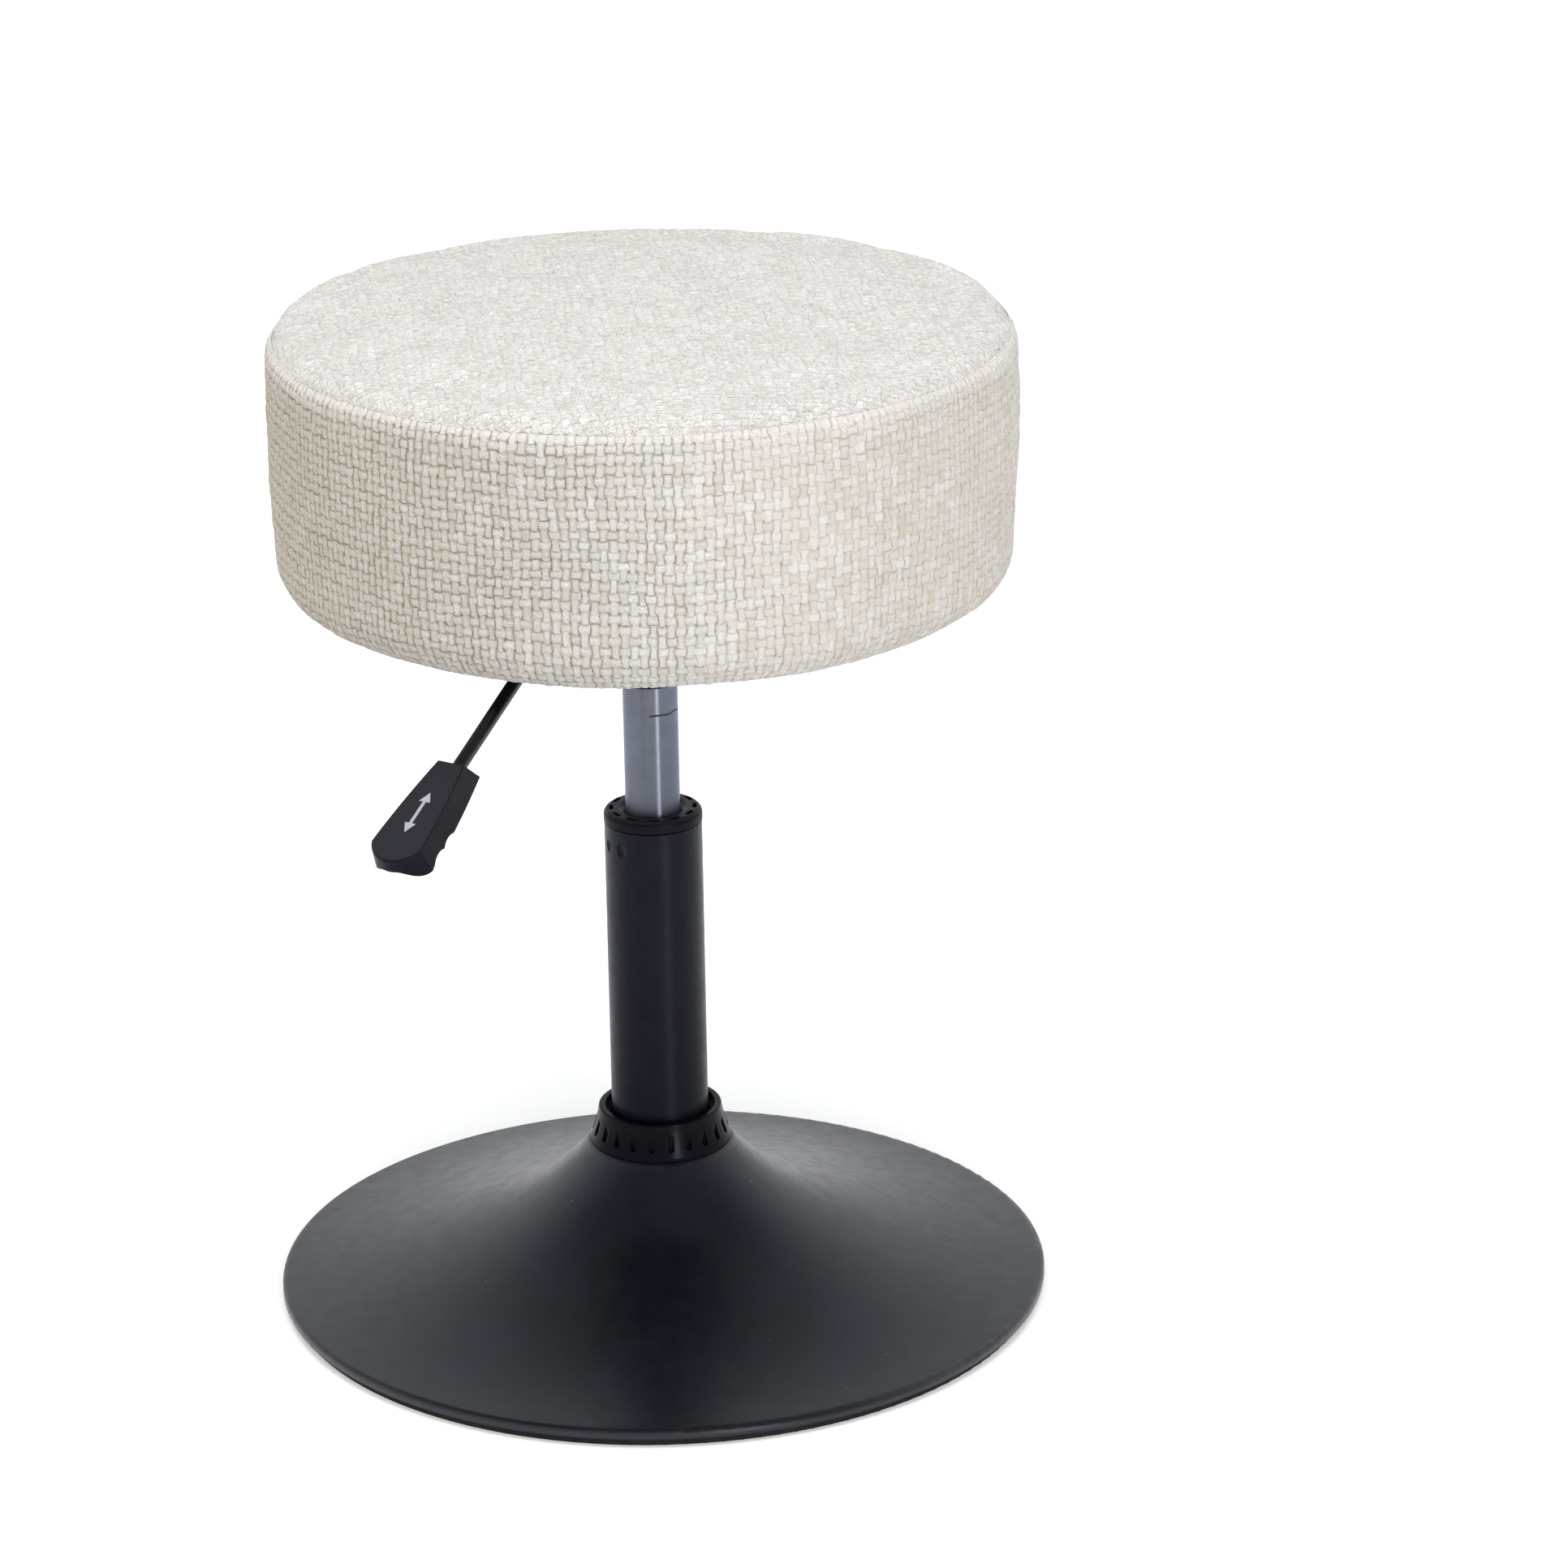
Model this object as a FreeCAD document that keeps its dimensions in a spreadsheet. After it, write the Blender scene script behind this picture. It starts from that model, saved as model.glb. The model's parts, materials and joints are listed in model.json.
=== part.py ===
import FreeCAD
import Part
import Sketcher
import math
import os
import re

# Swivel vanity stool with a round upholstered seat on a gas lift and a trumpet base.
# Millimetres, +Z up, origin on the floor under the column, seat at the photographed height.
# The lever, its bracket and the seat plate lie along their own +X and turn to lever_heading.

SIZES = {
    # rubber floor ring and weight disc
    "ring_radius": 196.2,
    "ring_inner": 186.0,
    "ring_top": 4.0,
    "ring_edge": 0.8,
    "disc_radius": 197.9,
    "disc_hole": 22.5,
    "disc_top": 7.5,
    # spun trumpet
    "rim_radius": 199.7,
    "rim_bottom": 5.0,
    "rim_top": 9.9,
    "rim_edge": 2.0,
    "flare_radius": 90.0,
    "flare_height": 39.8,
    "flare_slope": 24.0,
    "flare_outer_bend": 378.0,
    "flare_inner_bend": 135.0,
    "neck_radius": 38.5,
    "neck_height": 80.0,
    "neck_slope": 52.0,
    "ledge_height": 81.5,
    "ledge_edge": 1.9,
    "shell_wall": 1.5,
    # socket welded to the disc and the trumpet
    "socket_radius": 29.5,
    "socket_top": 92.0,
    # trim collar
    "collar_foot_radius": 36.6,
    "collar_foot_top": 83.5,
    "collar_lip_radius": 31.9,
    "collar_lip_edge": 0.9,
    "collar_top": 100.4,
    "collar_bend": 60.0,
    "collar_mouth": 28.4,
    "collar_shelf_radius": 26.4,
    "collar_shelf_top": 95.6,
    "collar_shelf_bottom": 93.4,
    "collar_skirt_inner": 33.2,
    "flute_width": 3.6,
    "flute_bottom": 88.0,
    "flute_top": 97.5,
    "flute_floor": 32.8,
    "flute_count": 22,
    # outer tube of the gas lift
    "tube_radius": 25.0,
    "tube_wall": 1.8,
    "tube_top": 257.3,
    "cone_top": 88.0,
    "cone_bottom": 26.0,
    "cone_radius": 23.8,
    "dent_height": 247.2,
    "dent_radius": 6.0,
    "dent_centre": 29.8,
    "dent_heading": 204.8,
    "dent_step": 23.8,
    # guide bush
    "bush_bottom": 183.0,
    "bush_bore": 14.05,
    "flange_radius": 25.25,
    "flange_top": 264.2,
    "flange_edge": 3.2,
    "flange_gap": 0.6,
    "bush_sink_radius": 17.4,
    "bush_sink_bottom": 262.6,
    "slot_radius": 21.3,
    "slot_width": 2.2,
    "slot_angle": 17.0,
    "slot_depth": 40.0,
    "slot_count": 12,
    # swivel bearing at the foot of the tube
    "end_plate_top": 32.0,
    "end_plate_hole": 4.6,
    "washer_radius": 14.0,
    "race_bottom": 34.0,
    "race_top": 37.2,
    "upper_washer_top": 39.2,
    "ball_radius": 1.55,
    "ball_circle": 10.0,
    "ball_count": 10,
    "cage_inner": 7.0,
    "cage_outer": 13.0,
    "cage_thick": 1.2,
    # piston rod and what it carries
    "rod_radius": 5.0,
    "rod_foot": 4.0,
    "rod_bottom": 15.0,
    "rod_top": 226.0,
    "clip_bottom": 21.6,
    "clip_thick": 1.3,
    "clip_groove": 3.0,
    "clip_radius": 7.4,
    "rod_washer_radius": 9.5,
    "rod_washer_thick": 1.4,
    "bumper_radius": 12.5,
    "bumper_waist": 9.5,
    "bumper_top": 69.2,
    "piston_radius": 12.24,
    "piston_bottom": 212.0,
    "piston_top": 224.0,
    "seal_centre": 218.0,
    "seal_circle": 11.2,
    "seal_section": 1.0,
    # sliding cylinder
    "cylinder_radius": 14.0,
    "cylinder_bore": 12.3,
    "cylinder_bottom": 130.0,
    "cylinder_top": 362.0,
    "taper_bottom": 335.0,
    "taper_radius": 13.3,
    "valve_bore": 11.8,
    "valve_bottom": 340.0,
    "valve_seat": 346.0,
    "neck_bore": 6.2,
    "guide_top": 146.0,
    "guide_bore": 5.05,
    "rod_seal_top": 151.0,
    "button_stem": 3.0,
    "button_stem_bore": 3.05,
    "button_head": 5.0,
    "button_shoulder": 366.4,
    "button_top": 370.9,
    # seat plate and hub, in the lever's own direction
    "hub_radius": 17.5,
    "hub_bottom": 333.0,
    "plate_length": 184.0,
    "plate_width": 152.0,
    "plate_corner": 18.0,
    "plate_top": 388.5,
    "plate_thick": 2.5,
    "dish_length": 126.0,
    "dish_width": 98.0,
    "dish_corner": 24.0,
    "dish_draft": 12.0,
    "dish_bottom": 359.0,
    "dish_edge": 4.0,
    "bolt_x": 76.0,
    "bolt_y": 60.0,
    "bolt_hole": 3.4,
    "lever_slot_width": 11.0,
    "lever_slot_bottom": 367.0,
    "lever_slot_top": 383.0,
    # release lever
    "lever_heading": 237.0,
    "lever_radius": 3.5,
    "lever_height": 375.0,
    "lever_tip": 8.0,
    "lever_bend_start": 99.7,
    "lever_bend_end": 114.684,
    "lever_bend_drop": 3.903,
    "lever_bend": 30.72,
    "lever_slope": 29.2,
    "lever_run": 92.0,
    "pivot_reach": 40.0,
    "pivot_radius": 2.0,
    "pivot_bore": 2.05,
    "pivot_length": 17.0,
    "pivot_head": 3.4,
    "ear_gap": 8.4,
    "ear_thick": 2.5,
    "ear_round": 6.0,
    "bracket_base": 2.0,
    # paddle on the lever
    "paddle_start": 174.1,
    "paddle_length": 66.4,
    "paddle_slant": 6.0,
    "paddle_thick": 14.5,
    "paddle_neck": 15.4,
    "paddle_width": 32.4,
    "paddle_tip": 11.8,
    "paddle_side_bend": 500.0,
    "paddle_nose": 17.0,
    "paddle_draft": 8.0,
    "paddle_edge": 1.0,
    "paddle_belly": 9.5,
    "paddle_undercut": 2.2,
    "paddle_bore": 30.0,
    "scallop_start": 30.0,
    "scallop_step": 10.5,
    "scallop_bend": 9.0,
    "scallop_drop": 0.6,
    # upholstered seat
    "seat_radius": 186.6,
    "seat_foot_radius": 185.2,
    "seat_side_bend": 1500.0,
    "seat_crown": 527.6,
    "seat_shoulder": 523.6,
    "seat_top_edge": 16.0,
    "seat_bottom": 386.5,
    "seat_bottom_edge": 20.0,
    "seam_angle": 35.0,
    "cloth": 3.0,
    "hem_radius": 140.0,
    "board_radius": 172.0,
    "board_top": 404.5,
    "dust_thick": 1.0,
    # bolts into the board
    "bolt_radius": 3.0,
    "bolt_top": 403.0,
    "bolt_head": 5.6,
    "bolt_head_thick": 4.0,
    "bolt_washer_radius": 9.0,
    "bolt_washer_thick": 1.4,
    "nut_barrel": 4.1,
    "nut_flange": 9.0,
    "nut_flange_thick": 1.2,
}

UP = FreeCAD.Vector(0, 0, 1)
doc = FreeCAD.newDocument("stool")
sheet = doc.addObject("Spreadsheet::Sheet", "Dims")


def fill_sheet():
    for row, (name, size) in enumerate(SIZES.items(), start=1):
        sheet.set("A%d" % row, name)
        sheet.set("B%d" % row, str(size))
        sheet.setAlias("B%d" % row, name)
    doc.recompute()


def bound(text):
    """The expression with each size's name pointing at its cell."""
    return re.sub(r"[a-z_]+", lambda word: "Dims." + word[0] if word[0] in SIZES else word[0], text)


def value(text):
    return float(sheet.evalExpression(bound(text)))


def bind(item, prop, text):
    item.setExpression(prop, bound(text))


def new_body(label, turned=False):
    body = doc.addObject("PartDesign::Body", label)
    body.Label = label
    if turned:
        body.Placement = FreeCAD.Placement(FreeCAD.Vector(), UP, SIZES["lever_heading"])
        bind(body, "Placement.Rotation.Angle", "lever_heading")
    return body


def origin_part(body, role):
    return next(item for item in body.Origin.OriginFeatures if item.Role == role)


def sketch_on(body, role, lift=None):
    sketch = body.newObject("Sketcher::SketchObject", body.Label + "_sketch")
    sketch.AttachmentSupport = [(origin_part(body, role), "")]
    sketch.MapMode = "FlatFace"
    if lift:
        bind(sketch, "AttachmentOffset.Base.z", lift)
    return sketch


def arc_between(a, b, bend):
    """Short arc from a to b: it turns left for a positive bend, right for a negative one."""
    chord = b - a
    left = FreeCAD.Vector(-chord.y, chord.x, 0).normalize()
    reach = math.sqrt(bend * bend - chord.Length ** 2 / 4)
    centre = (a + b) * 0.5 + left * math.copysign(reach, bend)
    first, last = (a, b) if bend > 0 else (b, a)
    angles = [math.atan2(p.y - centre.y, p.x - centre.x) for p in (first, last)]
    return Part.ArcOfCircle(Part.Circle(centre, UP, abs(bend)), *angles)


def constrain(sketch, kind, *places, size=None):
    if size is None:
        sketch.addConstraint(Sketcher.Constraint(kind, *places))
        return
    row = sketch.addConstraint(Sketcher.Constraint(kind, *places, value(size)))
    bind(sketch, "Constraints[%d]" % row, size)


def pin(sketch, spot, x, y):
    """Hold one end of an edge at x and y."""
    for kind, axis, size in (("DistanceX", -2, x), ("DistanceY", -1, y)):
        if size == "0":
            constrain(sketch, "PointOnObject", *spot, axis)
        else:
            constrain(sketch, kind, -1, 1, *spot, size=size)


def outline(sketch, corners):
    """Closed outline through (x, y) corners. A third entry bends the edge that starts there."""
    spots = [FreeCAD.Vector(value(corner[0]), value(corner[1]), 0) for corner in corners]
    starts, ends = [], []
    for corner, a, b in zip(corners, spots, spots[1:] + spots[:1]):
        bend = value(corner[2]) if len(corner) == 3 else 0
        edge = arc_between(a, b, bend) if bend else Part.LineSegment(a, b)
        row = sketch.addGeometry(edge, False)
        starts.append((row, 2 if bend < 0 else 1))
        ends.append((row, 1 if bend < 0 else 2))
    for i, corner in enumerate(corners):
        constrain(sketch, "Coincident", *ends[i - 1], *starts[i])
        pin(sketch, starts[i], corner[0], corner[1])
        if len(corner) == 3:
            constrain(sketch, "Radius", starts[i][0], size=corner[2].lstrip("-"))


def circle(sketch, radius, x="0", y="0"):
    centre = FreeCAD.Vector(value(x), value(y), 0)
    row = sketch.addGeometry(Part.Circle(centre, UP, value(radius)), False)
    pin(sketch, (row, 3), x, y)
    constrain(sketch, "Radius", row, size=radius)


def feature(body, kind, sketch):
    item = body.newObject("PartDesign::" + kind, body.Label + "_" + kind)
    item.Profile = sketch
    return item


def revolve(body, corners, kind="Revolution", angle=360):
    sketch = sketch_on(body, "XZ_Plane")
    outline(sketch, corners)
    item = feature(body, kind, sketch)
    item.ReferenceAxis = (sketch, ["V_Axis"])
    item.Angle = angle
    doc.recompute()
    return item


def extrude(body, kind, sketch, length, reverse=False, both=False):
    item = feature(body, kind, sketch)
    bind(item, "Length", length)
    item.Reversed = reverse
    item.Midplane = both
    doc.recompute()
    return item


def polar(body, item, count):
    pattern = body.newObject("PartDesign::PolarPattern", body.Label + "_ring")
    pattern.Originals = [item]
    pattern.Axis = (origin_part(body, "Z_Axis"), [""])
    pattern.Angle = 360
    bind(pattern, "Occurrences", count)
    body.Tip = pattern
    doc.recompute()


def dress(body, kind, prop, size, wanted):
    """Round or bevel the edges that wanted picks."""
    base = body.Tip
    names = ["Edge%d" % i for i, edge in enumerate(base.Shape.Edges, start=1) if wanted(edge)]
    item = body.newObject("PartDesign::" + kind, body.Label + "_" + kind)
    item.Base = (base, names)
    bind(item, prop, size)
    doc.recompute()


def turned_piece(label, corners, turned=False):
    body = new_body(label, turned)
    revolve(body, corners)
    return body


def rounded_box(sketch, length, width, corner):
    """Rounded rectangle about the origin, drawn counter-clockwise."""
    x, y, r = "(%s) / 2" % length, "(%s) / 2" % width, "(%s)" % corner
    outline(sketch, [
        ("-(%s) + %s" % (x, r), "-(%s)" % y),
        ("%s - %s" % (x, r), "-(%s)" % y, r),
        (x, "-(%s) + %s" % (y, r)),
        (x, "%s - %s" % (y, r), r),
        ("%s - %s" % (x, r), y),
        ("-(%s) + %s" % (x, r), y, r),
        ("-(%s)" % x, "%s - %s" % (y, r)),
        ("-(%s)" % x, "-(%s) + %s" % (y, r), r),
    ])


def make_base():
    turned_piece("floor_ring", [
        ("ring_inner", "0"),
        ("ring_radius - ring_edge", "0", "ring_edge"),
        ("ring_radius", "ring_edge"),
        ("ring_radius", "ring_top"),
        ("ring_inner", "ring_top"),
    ])
    turned_piece("ballast_plate", [
        ("disc_hole", "ring_top"),
        ("disc_radius", "ring_top"),
        ("disc_radius", "disc_top"),
        ("disc_hole", "disc_top"),
    ])
    turned_piece("base_shell", [
        ("rim_radius - shell_wall", "rim_bottom"),
        ("rim_radius", "rim_bottom"),
        ("rim_radius", "rim_top - rim_edge", "rim_edge"),
        ("rim_radius - rim_edge", "rim_top", "-flare_outer_bend"),
        ("flare_radius", "flare_height", "-flare_inner_bend"),
        ("neck_radius", "neck_height", "ledge_edge"),
        ("neck_radius - ledge_edge", "ledge_height"),
        ("socket_radius", "ledge_height"),
        ("socket_radius", "ledge_height - shell_wall"),
        ("neck_radius - ledge_edge", "ledge_height - shell_wall"),
        ("neck_radius - shell_wall * sin(neck_slope)", "neck_height - shell_wall * cos(neck_slope)",
         "flare_inner_bend + shell_wall"),
        ("flare_radius - shell_wall * sin(flare_slope)", "flare_height - shell_wall * cos(flare_slope)",
         "flare_outer_bend + shell_wall"),
        ("rim_radius - shell_wall", "rim_top - shell_wall"),
    ])
    turned_piece("column_socket", [
        ("cone_radius", "disc_top"),
        ("socket_radius", "disc_top"),
        ("socket_radius", "socket_top"),
        ("tube_radius", "socket_top"),
        ("tube_radius", "cone_top"),
        ("cone_radius", "cone_bottom"),
    ])
    make_collar()


def make_collar():
    """Trim ring with a mouth round the column and upright grip flutes that run out at the lip."""
    body = turned_piece("base_collar", [
        ("collar_skirt_inner", "ledge_height"),
        ("collar_foot_radius", "ledge_height"),
        ("collar_foot_radius", "collar_foot_top", "-collar_bend"),
        ("collar_lip_radius", "collar_top - collar_lip_edge", "collar_lip_edge"),
        ("collar_lip_radius - collar_lip_edge", "collar_top"),
        ("collar_mouth + collar_lip_edge / 2", "collar_top"),
        ("collar_mouth", "collar_top - collar_lip_edge / 2"),
        ("collar_mouth", "collar_shelf_top"),
        ("collar_shelf_radius", "collar_shelf_top"),
        ("collar_shelf_radius", "collar_shelf_bottom"),
        ("socket_radius + 0.2", "collar_shelf_bottom"),
        ("socket_radius + 0.2", "collar_shelf_bottom - 5"),
    ])
    sketch = sketch_on(body, "YZ_Plane", "flute_floor")
    half = "flute_width / 2"
    outline(sketch, [
        ("-(%s)" % half, "flute_bottom", half + " * 1.001"),
        (half, "flute_bottom"),
        (half, "flute_top"),
        ("-(%s)" % half, "flute_top"),
    ])
    flute = extrude(body, "Pocket", sketch, "flute_width * 2", reverse=True)
    polar(body, flute, "flute_count")


def make_tube():
    body = turned_piece("column_tube", [
        ("cone_radius - tube_wall", "cone_bottom"),
        ("cone_radius", "cone_bottom"),
        ("tube_radius", "cone_top"),
        ("tube_radius", "tube_top"),
        ("tube_radius - tube_wall", "tube_top"),
        ("tube_radius - tube_wall", "cone_top"),
    ])
    for i in range(2):
        heading = "(dent_heading + %d * dent_step)" % i
        dent = body.newObject("PartDesign::SubtractiveSphere", "dent_%d" % i)
        bind(dent, "Radius", "dent_radius")
        bind(dent, "Placement.Base.x", "dent_centre * cos(%s)" % heading)
        bind(dent, "Placement.Base.y", "dent_centre * sin(%s)" % heading)
        bind(dent, "Placement.Base.z", "dent_height")
        doc.recompute()


def make_bush():
    body = turned_piece("guide_bush", [
        ("bush_bore", "bush_bottom"),
        ("tube_radius - tube_wall", "bush_bottom"),
        ("tube_radius - tube_wall", "tube_top"),
        ("flange_radius - 1.2", "tube_top"),
        ("flange_radius - 1.2", "tube_top + flange_gap"),
        ("flange_radius", "tube_top + flange_gap"),
        ("flange_radius", "flange_top - flange_edge", "flange_edge"),
        ("flange_radius - flange_edge", "flange_top"),
        ("bush_sink_radius", "flange_top"),
        ("bush_bore", "bush_sink_bottom"),
    ])
    sketch = sketch_on(body, "XY_Plane", "flange_top")
    inner, outer = "(slot_radius - slot_width / 2)", "(slot_radius + slot_width / 2)"
    near, far = "(-slot_angle / 2)", "(slot_angle / 2)"
    outline(sketch, [
        (inner + " * cos(%s)" % near, inner + " * sin(%s)" % near),
        (outer + " * cos(%s)" % near, outer + " * sin(%s)" % near, outer),
        (outer + " * cos(%s)" % far, outer + " * sin(%s)" % far),
        (inner + " * cos(%s)" % far, inner + " * sin(%s)" % far, "-" + inner),
    ])
    slot = extrude(body, "Pocket", sketch, "slot_depth")
    polar(body, slot, "slot_count")


def make_bearing():
    slope = "(tube_radius - cone_radius) / (cone_top - cone_bottom)"
    turned_piece("column_end_plate", [
        ("end_plate_hole", "cone_bottom"),
        ("cone_radius - tube_wall", "cone_bottom"),
        ("cone_radius - tube_wall + %s * (end_plate_top - cone_bottom)" % slope, "end_plate_top"),
        ("end_plate_hole", "end_plate_top"),
    ])
    for label, hole, low, top in (
        ("bearing_lower_washer", "end_plate_hole", "end_plate_top", "race_bottom"),
        ("bearing_upper_washer", "rod_foot", "race_top", "upper_washer_top"),
    ):
        turned_piece(label, [(hole, low), ("washer_radius", low), ("washer_radius", top), (hole, top)])
    middle = "(race_bottom + race_top) / 2"
    low, top = middle + " - cage_thick / 2", middle + " + cage_thick / 2"
    cage = turned_piece("bearing_cage", [
        ("cage_inner", low),
        ("cage_outer", low),
        ("cage_outer", top),
        ("cage_inner", top),
    ])
    sketch = sketch_on(cage, "XY_Plane", middle)
    circle(sketch, "ball_radius + 0.1", "ball_circle")
    pocket = extrude(cage, "Pocket", sketch, "cage_thick * 2", both=True)
    polar(cage, pocket, "ball_count")
    balls = []
    for i in range(int(SIZES["ball_count"])):
        ball = doc.addObject("Part::Sphere", "ball")
        bind(ball, "Radius", "ball_radius")
        heading = "(%d * 360 / ball_count)" % i
        bind(ball, "Placement.Base.x", "ball_circle * cos(%s)" % heading)
        bind(ball, "Placement.Base.y", "ball_circle * sin(%s)" % heading)
        bind(ball, "Placement.Base.z", middle)
        balls.append(ball)
    group("bearing_balls", balls)


def group(label, pieces):
    """Separate solids under one name."""
    item = doc.addObject("Part::Compound", label)
    item.Label = label
    item.Links = pieces
    doc.recompute()
    return item


def make_piston():
    turned_piece("piston_rod", [
        ("0", "rod_bottom"),
        ("rod_foot - 1", "rod_bottom"),
        ("rod_foot", "rod_bottom + 1"),
        ("rod_foot", "clip_bottom"),
        ("clip_groove", "clip_bottom"),
        ("clip_groove", "clip_bottom + clip_thick"),
        ("rod_foot", "clip_bottom + clip_thick"),
        ("rod_foot", "upper_washer_top"),
        ("rod_radius", "upper_washer_top"),
        ("rod_radius", "piston_bottom"),
        ("rod_foot", "piston_bottom"),
        ("rod_foot", "rod_top"),
        ("0", "rod_top"),
    ])
    washer_low = "cone_bottom - 0.4 - rod_washer_thick"
    turned_piece("rod_washer", [
        ("rod_foot", washer_low),
        ("rod_washer_radius", washer_low),
        ("rod_washer_radius", "cone_bottom - 0.4"),
        ("rod_foot", "cone_bottom - 0.4"),
    ])
    clip = new_body("rod_clip")
    revolve(clip, [
        ("clip_groove", "clip_bottom"),
        ("clip_radius", "clip_bottom"),
        ("clip_radius", "clip_bottom + clip_thick"),
        ("clip_groove", "clip_bottom + clip_thick"),
    ], angle=280)
    middle = "(upper_washer_top + bumper_top) / 2"
    turned_piece("rubber_bumper", [
        ("rod_radius", "upper_washer_top"),
        ("bumper_radius", "upper_washer_top"),
        ("bumper_radius", "upper_washer_top + 8"),
        ("bumper_waist", middle),
        ("bumper_radius", "bumper_top - 8"),
        ("bumper_radius - 2", "bumper_top"),
        ("rod_radius", "bumper_top"),
    ])
    floor = "seal_circle - seal_section - 0.05"
    turned_piece("piston", [
        ("rod_foot", "piston_bottom"),
        ("piston_radius", "piston_bottom"),
        ("piston_radius", "seal_centre - 1.2"),
        (floor, "seal_centre - 1.2"),
        (floor, "seal_centre + 1.2"),
        ("piston_radius", "seal_centre + 1.2"),
        ("piston_radius", "piston_top"),
        ("rod_foot", "piston_top"),
    ])
    seal = doc.addObject("Part::Torus", "piston_seal")
    seal.Label = "piston_seal"
    bind(seal, "Radius1", "seal_circle")
    bind(seal, "Radius2", "seal_section")
    bind(seal, "Placement.Base.z", "seal_centre")


def make_cylinder():
    turned_piece("gas_cylinder", [
        ("cylinder_bore - 2", "cylinder_bottom"),
        ("cylinder_radius - 0.8", "cylinder_bottom", "0.8"),
        ("cylinder_radius", "cylinder_bottom + 0.8"),
        ("cylinder_radius", "taper_bottom"),
        ("taper_radius", "cylinder_top"),
        ("neck_bore", "cylinder_top"),
        ("neck_bore", "cylinder_top - 1.5"),
        ("valve_bore", "cylinder_top - 1.5"),
        ("valve_bore", "valve_seat"),
        ("cylinder_bore", "valve_seat - 1"),
        ("cylinder_bore", "cylinder_bottom + 1.5"),
        ("cylinder_bore - 2", "cylinder_bottom + 1.5"),
    ])
    turned_piece("rod_guide", [
        ("guide_bore", "cylinder_bottom + 1.5"),
        ("cylinder_bore", "cylinder_bottom + 1.5"),
        ("cylinder_bore", "guide_top"),
        ("guide_bore", "guide_top"),
    ])
    turned_piece("rod_seal", [
        ("guide_bore", "guide_top"),
        ("cylinder_bore", "guide_top"),
        ("cylinder_bore", "rod_seal_top"),
        ("cylinder_bore - 2", "rod_seal_top"),
        ("(cylinder_bore + guide_bore) / 2", "guide_top + 2"),
        ("guide_bore + 2", "rod_seal_top"),
        ("guide_bore", "rod_seal_top"),
    ])
    turned_piece("valve_body", [
        ("button_stem_bore", "valve_bottom"),
        ("valve_bore - 2", "valve_bottom"),
        ("valve_bore", "valve_seat"),
        ("valve_bore", "cylinder_top - 1.5"),
        ("neck_bore", "cylinder_top - 1.5"),
        ("neck_bore", "cylinder_top + 0.6"),
        ("button_stem_bore", "cylinder_top + 0.6"),
    ])
    turned_piece("release_button", [
        ("0", "valve_bottom - 2"),
        ("button_stem", "valve_bottom - 2"),
        ("button_stem", "button_shoulder"),
        ("button_head", "button_shoulder"),
        ("button_head", "button_top - 1.6"),
        ("button_head - 2", "button_top"),
        ("0", "button_top"),
    ])


def make_plate():
    """Stamped plate: a bolted flange round a drawn dish, with a slot where the lever comes out."""
    body = new_body("seat_plate", turned=True)
    sketch = sketch_on(body, "XY_Plane", "plate_top")
    rounded_box(sketch, "plate_length", "plate_width", "plate_corner")
    for x in ("-bolt_x", "bolt_x"):
        for y in ("-bolt_y", "bolt_y"):
            circle(sketch, "bolt_hole", x, y)
    extrude(body, "Pad", sketch, "plate_thick", reverse=True)
    sketch = sketch_on(body, "XY_Plane", "plate_top")
    rounded_box(sketch, "dish_length", "dish_width", "dish_corner")
    pad = extrude(body, "Pad", sketch, "plate_top - dish_bottom", reverse=True)
    bind(pad, "TaperAngle", "-dish_draft")
    doc.recompute()
    sketch = sketch_on(body, "XY_Plane", "plate_top")
    rounded_box(sketch, "dish_length - 2 * plate_thick", "dish_width - 2 * plate_thick",
                "dish_corner - plate_thick")
    pocket = extrude(body, "Pocket", sketch, "plate_top - dish_bottom - plate_thick")
    bind(pocket, "TaperAngle", "-dish_draft")
    doc.recompute()
    low = value("dish_bottom")
    dress(body, "Fillet", "Radius", "dish_edge", lambda edge: abs(edge.BoundBox.ZMax - low) < 0.01)
    sketch = sketch_on(body, "XY_Plane", "dish_bottom - 1")
    circle(sketch, "hub_radius")
    extrude(body, "Pocket", sketch, "plate_thick + 2", reverse=True)
    sketch = sketch_on(body, "YZ_Plane", "hub_radius + 10")
    half = "lever_slot_width / 2"
    outline(sketch, [
        ("-(%s)" % half, "lever_slot_bottom"),
        (half, "lever_slot_bottom"),
        (half, "lever_slot_top"),
        ("-(%s)" % half, "lever_slot_top"),
    ])
    extrude(body, "Pocket", sketch, "dish_length / 2", reverse=True)
    left = "(cylinder_top - dish_bottom - plate_thick) / (cylinder_top - taper_bottom)"
    narrowing = "(cylinder_radius - taper_radius) * " + left
    turned_piece("plate_hub", [
        ("cylinder_radius", "hub_bottom"),
        ("hub_radius - 1", "hub_bottom"),
        ("hub_radius", "hub_bottom + 1"),
        ("hub_radius", "dish_bottom + plate_thick"),
        ("taper_radius + " + narrowing, "dish_bottom + plate_thick"),
        ("cylinder_radius", "taper_bottom"),
    ], turned=True)


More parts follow.
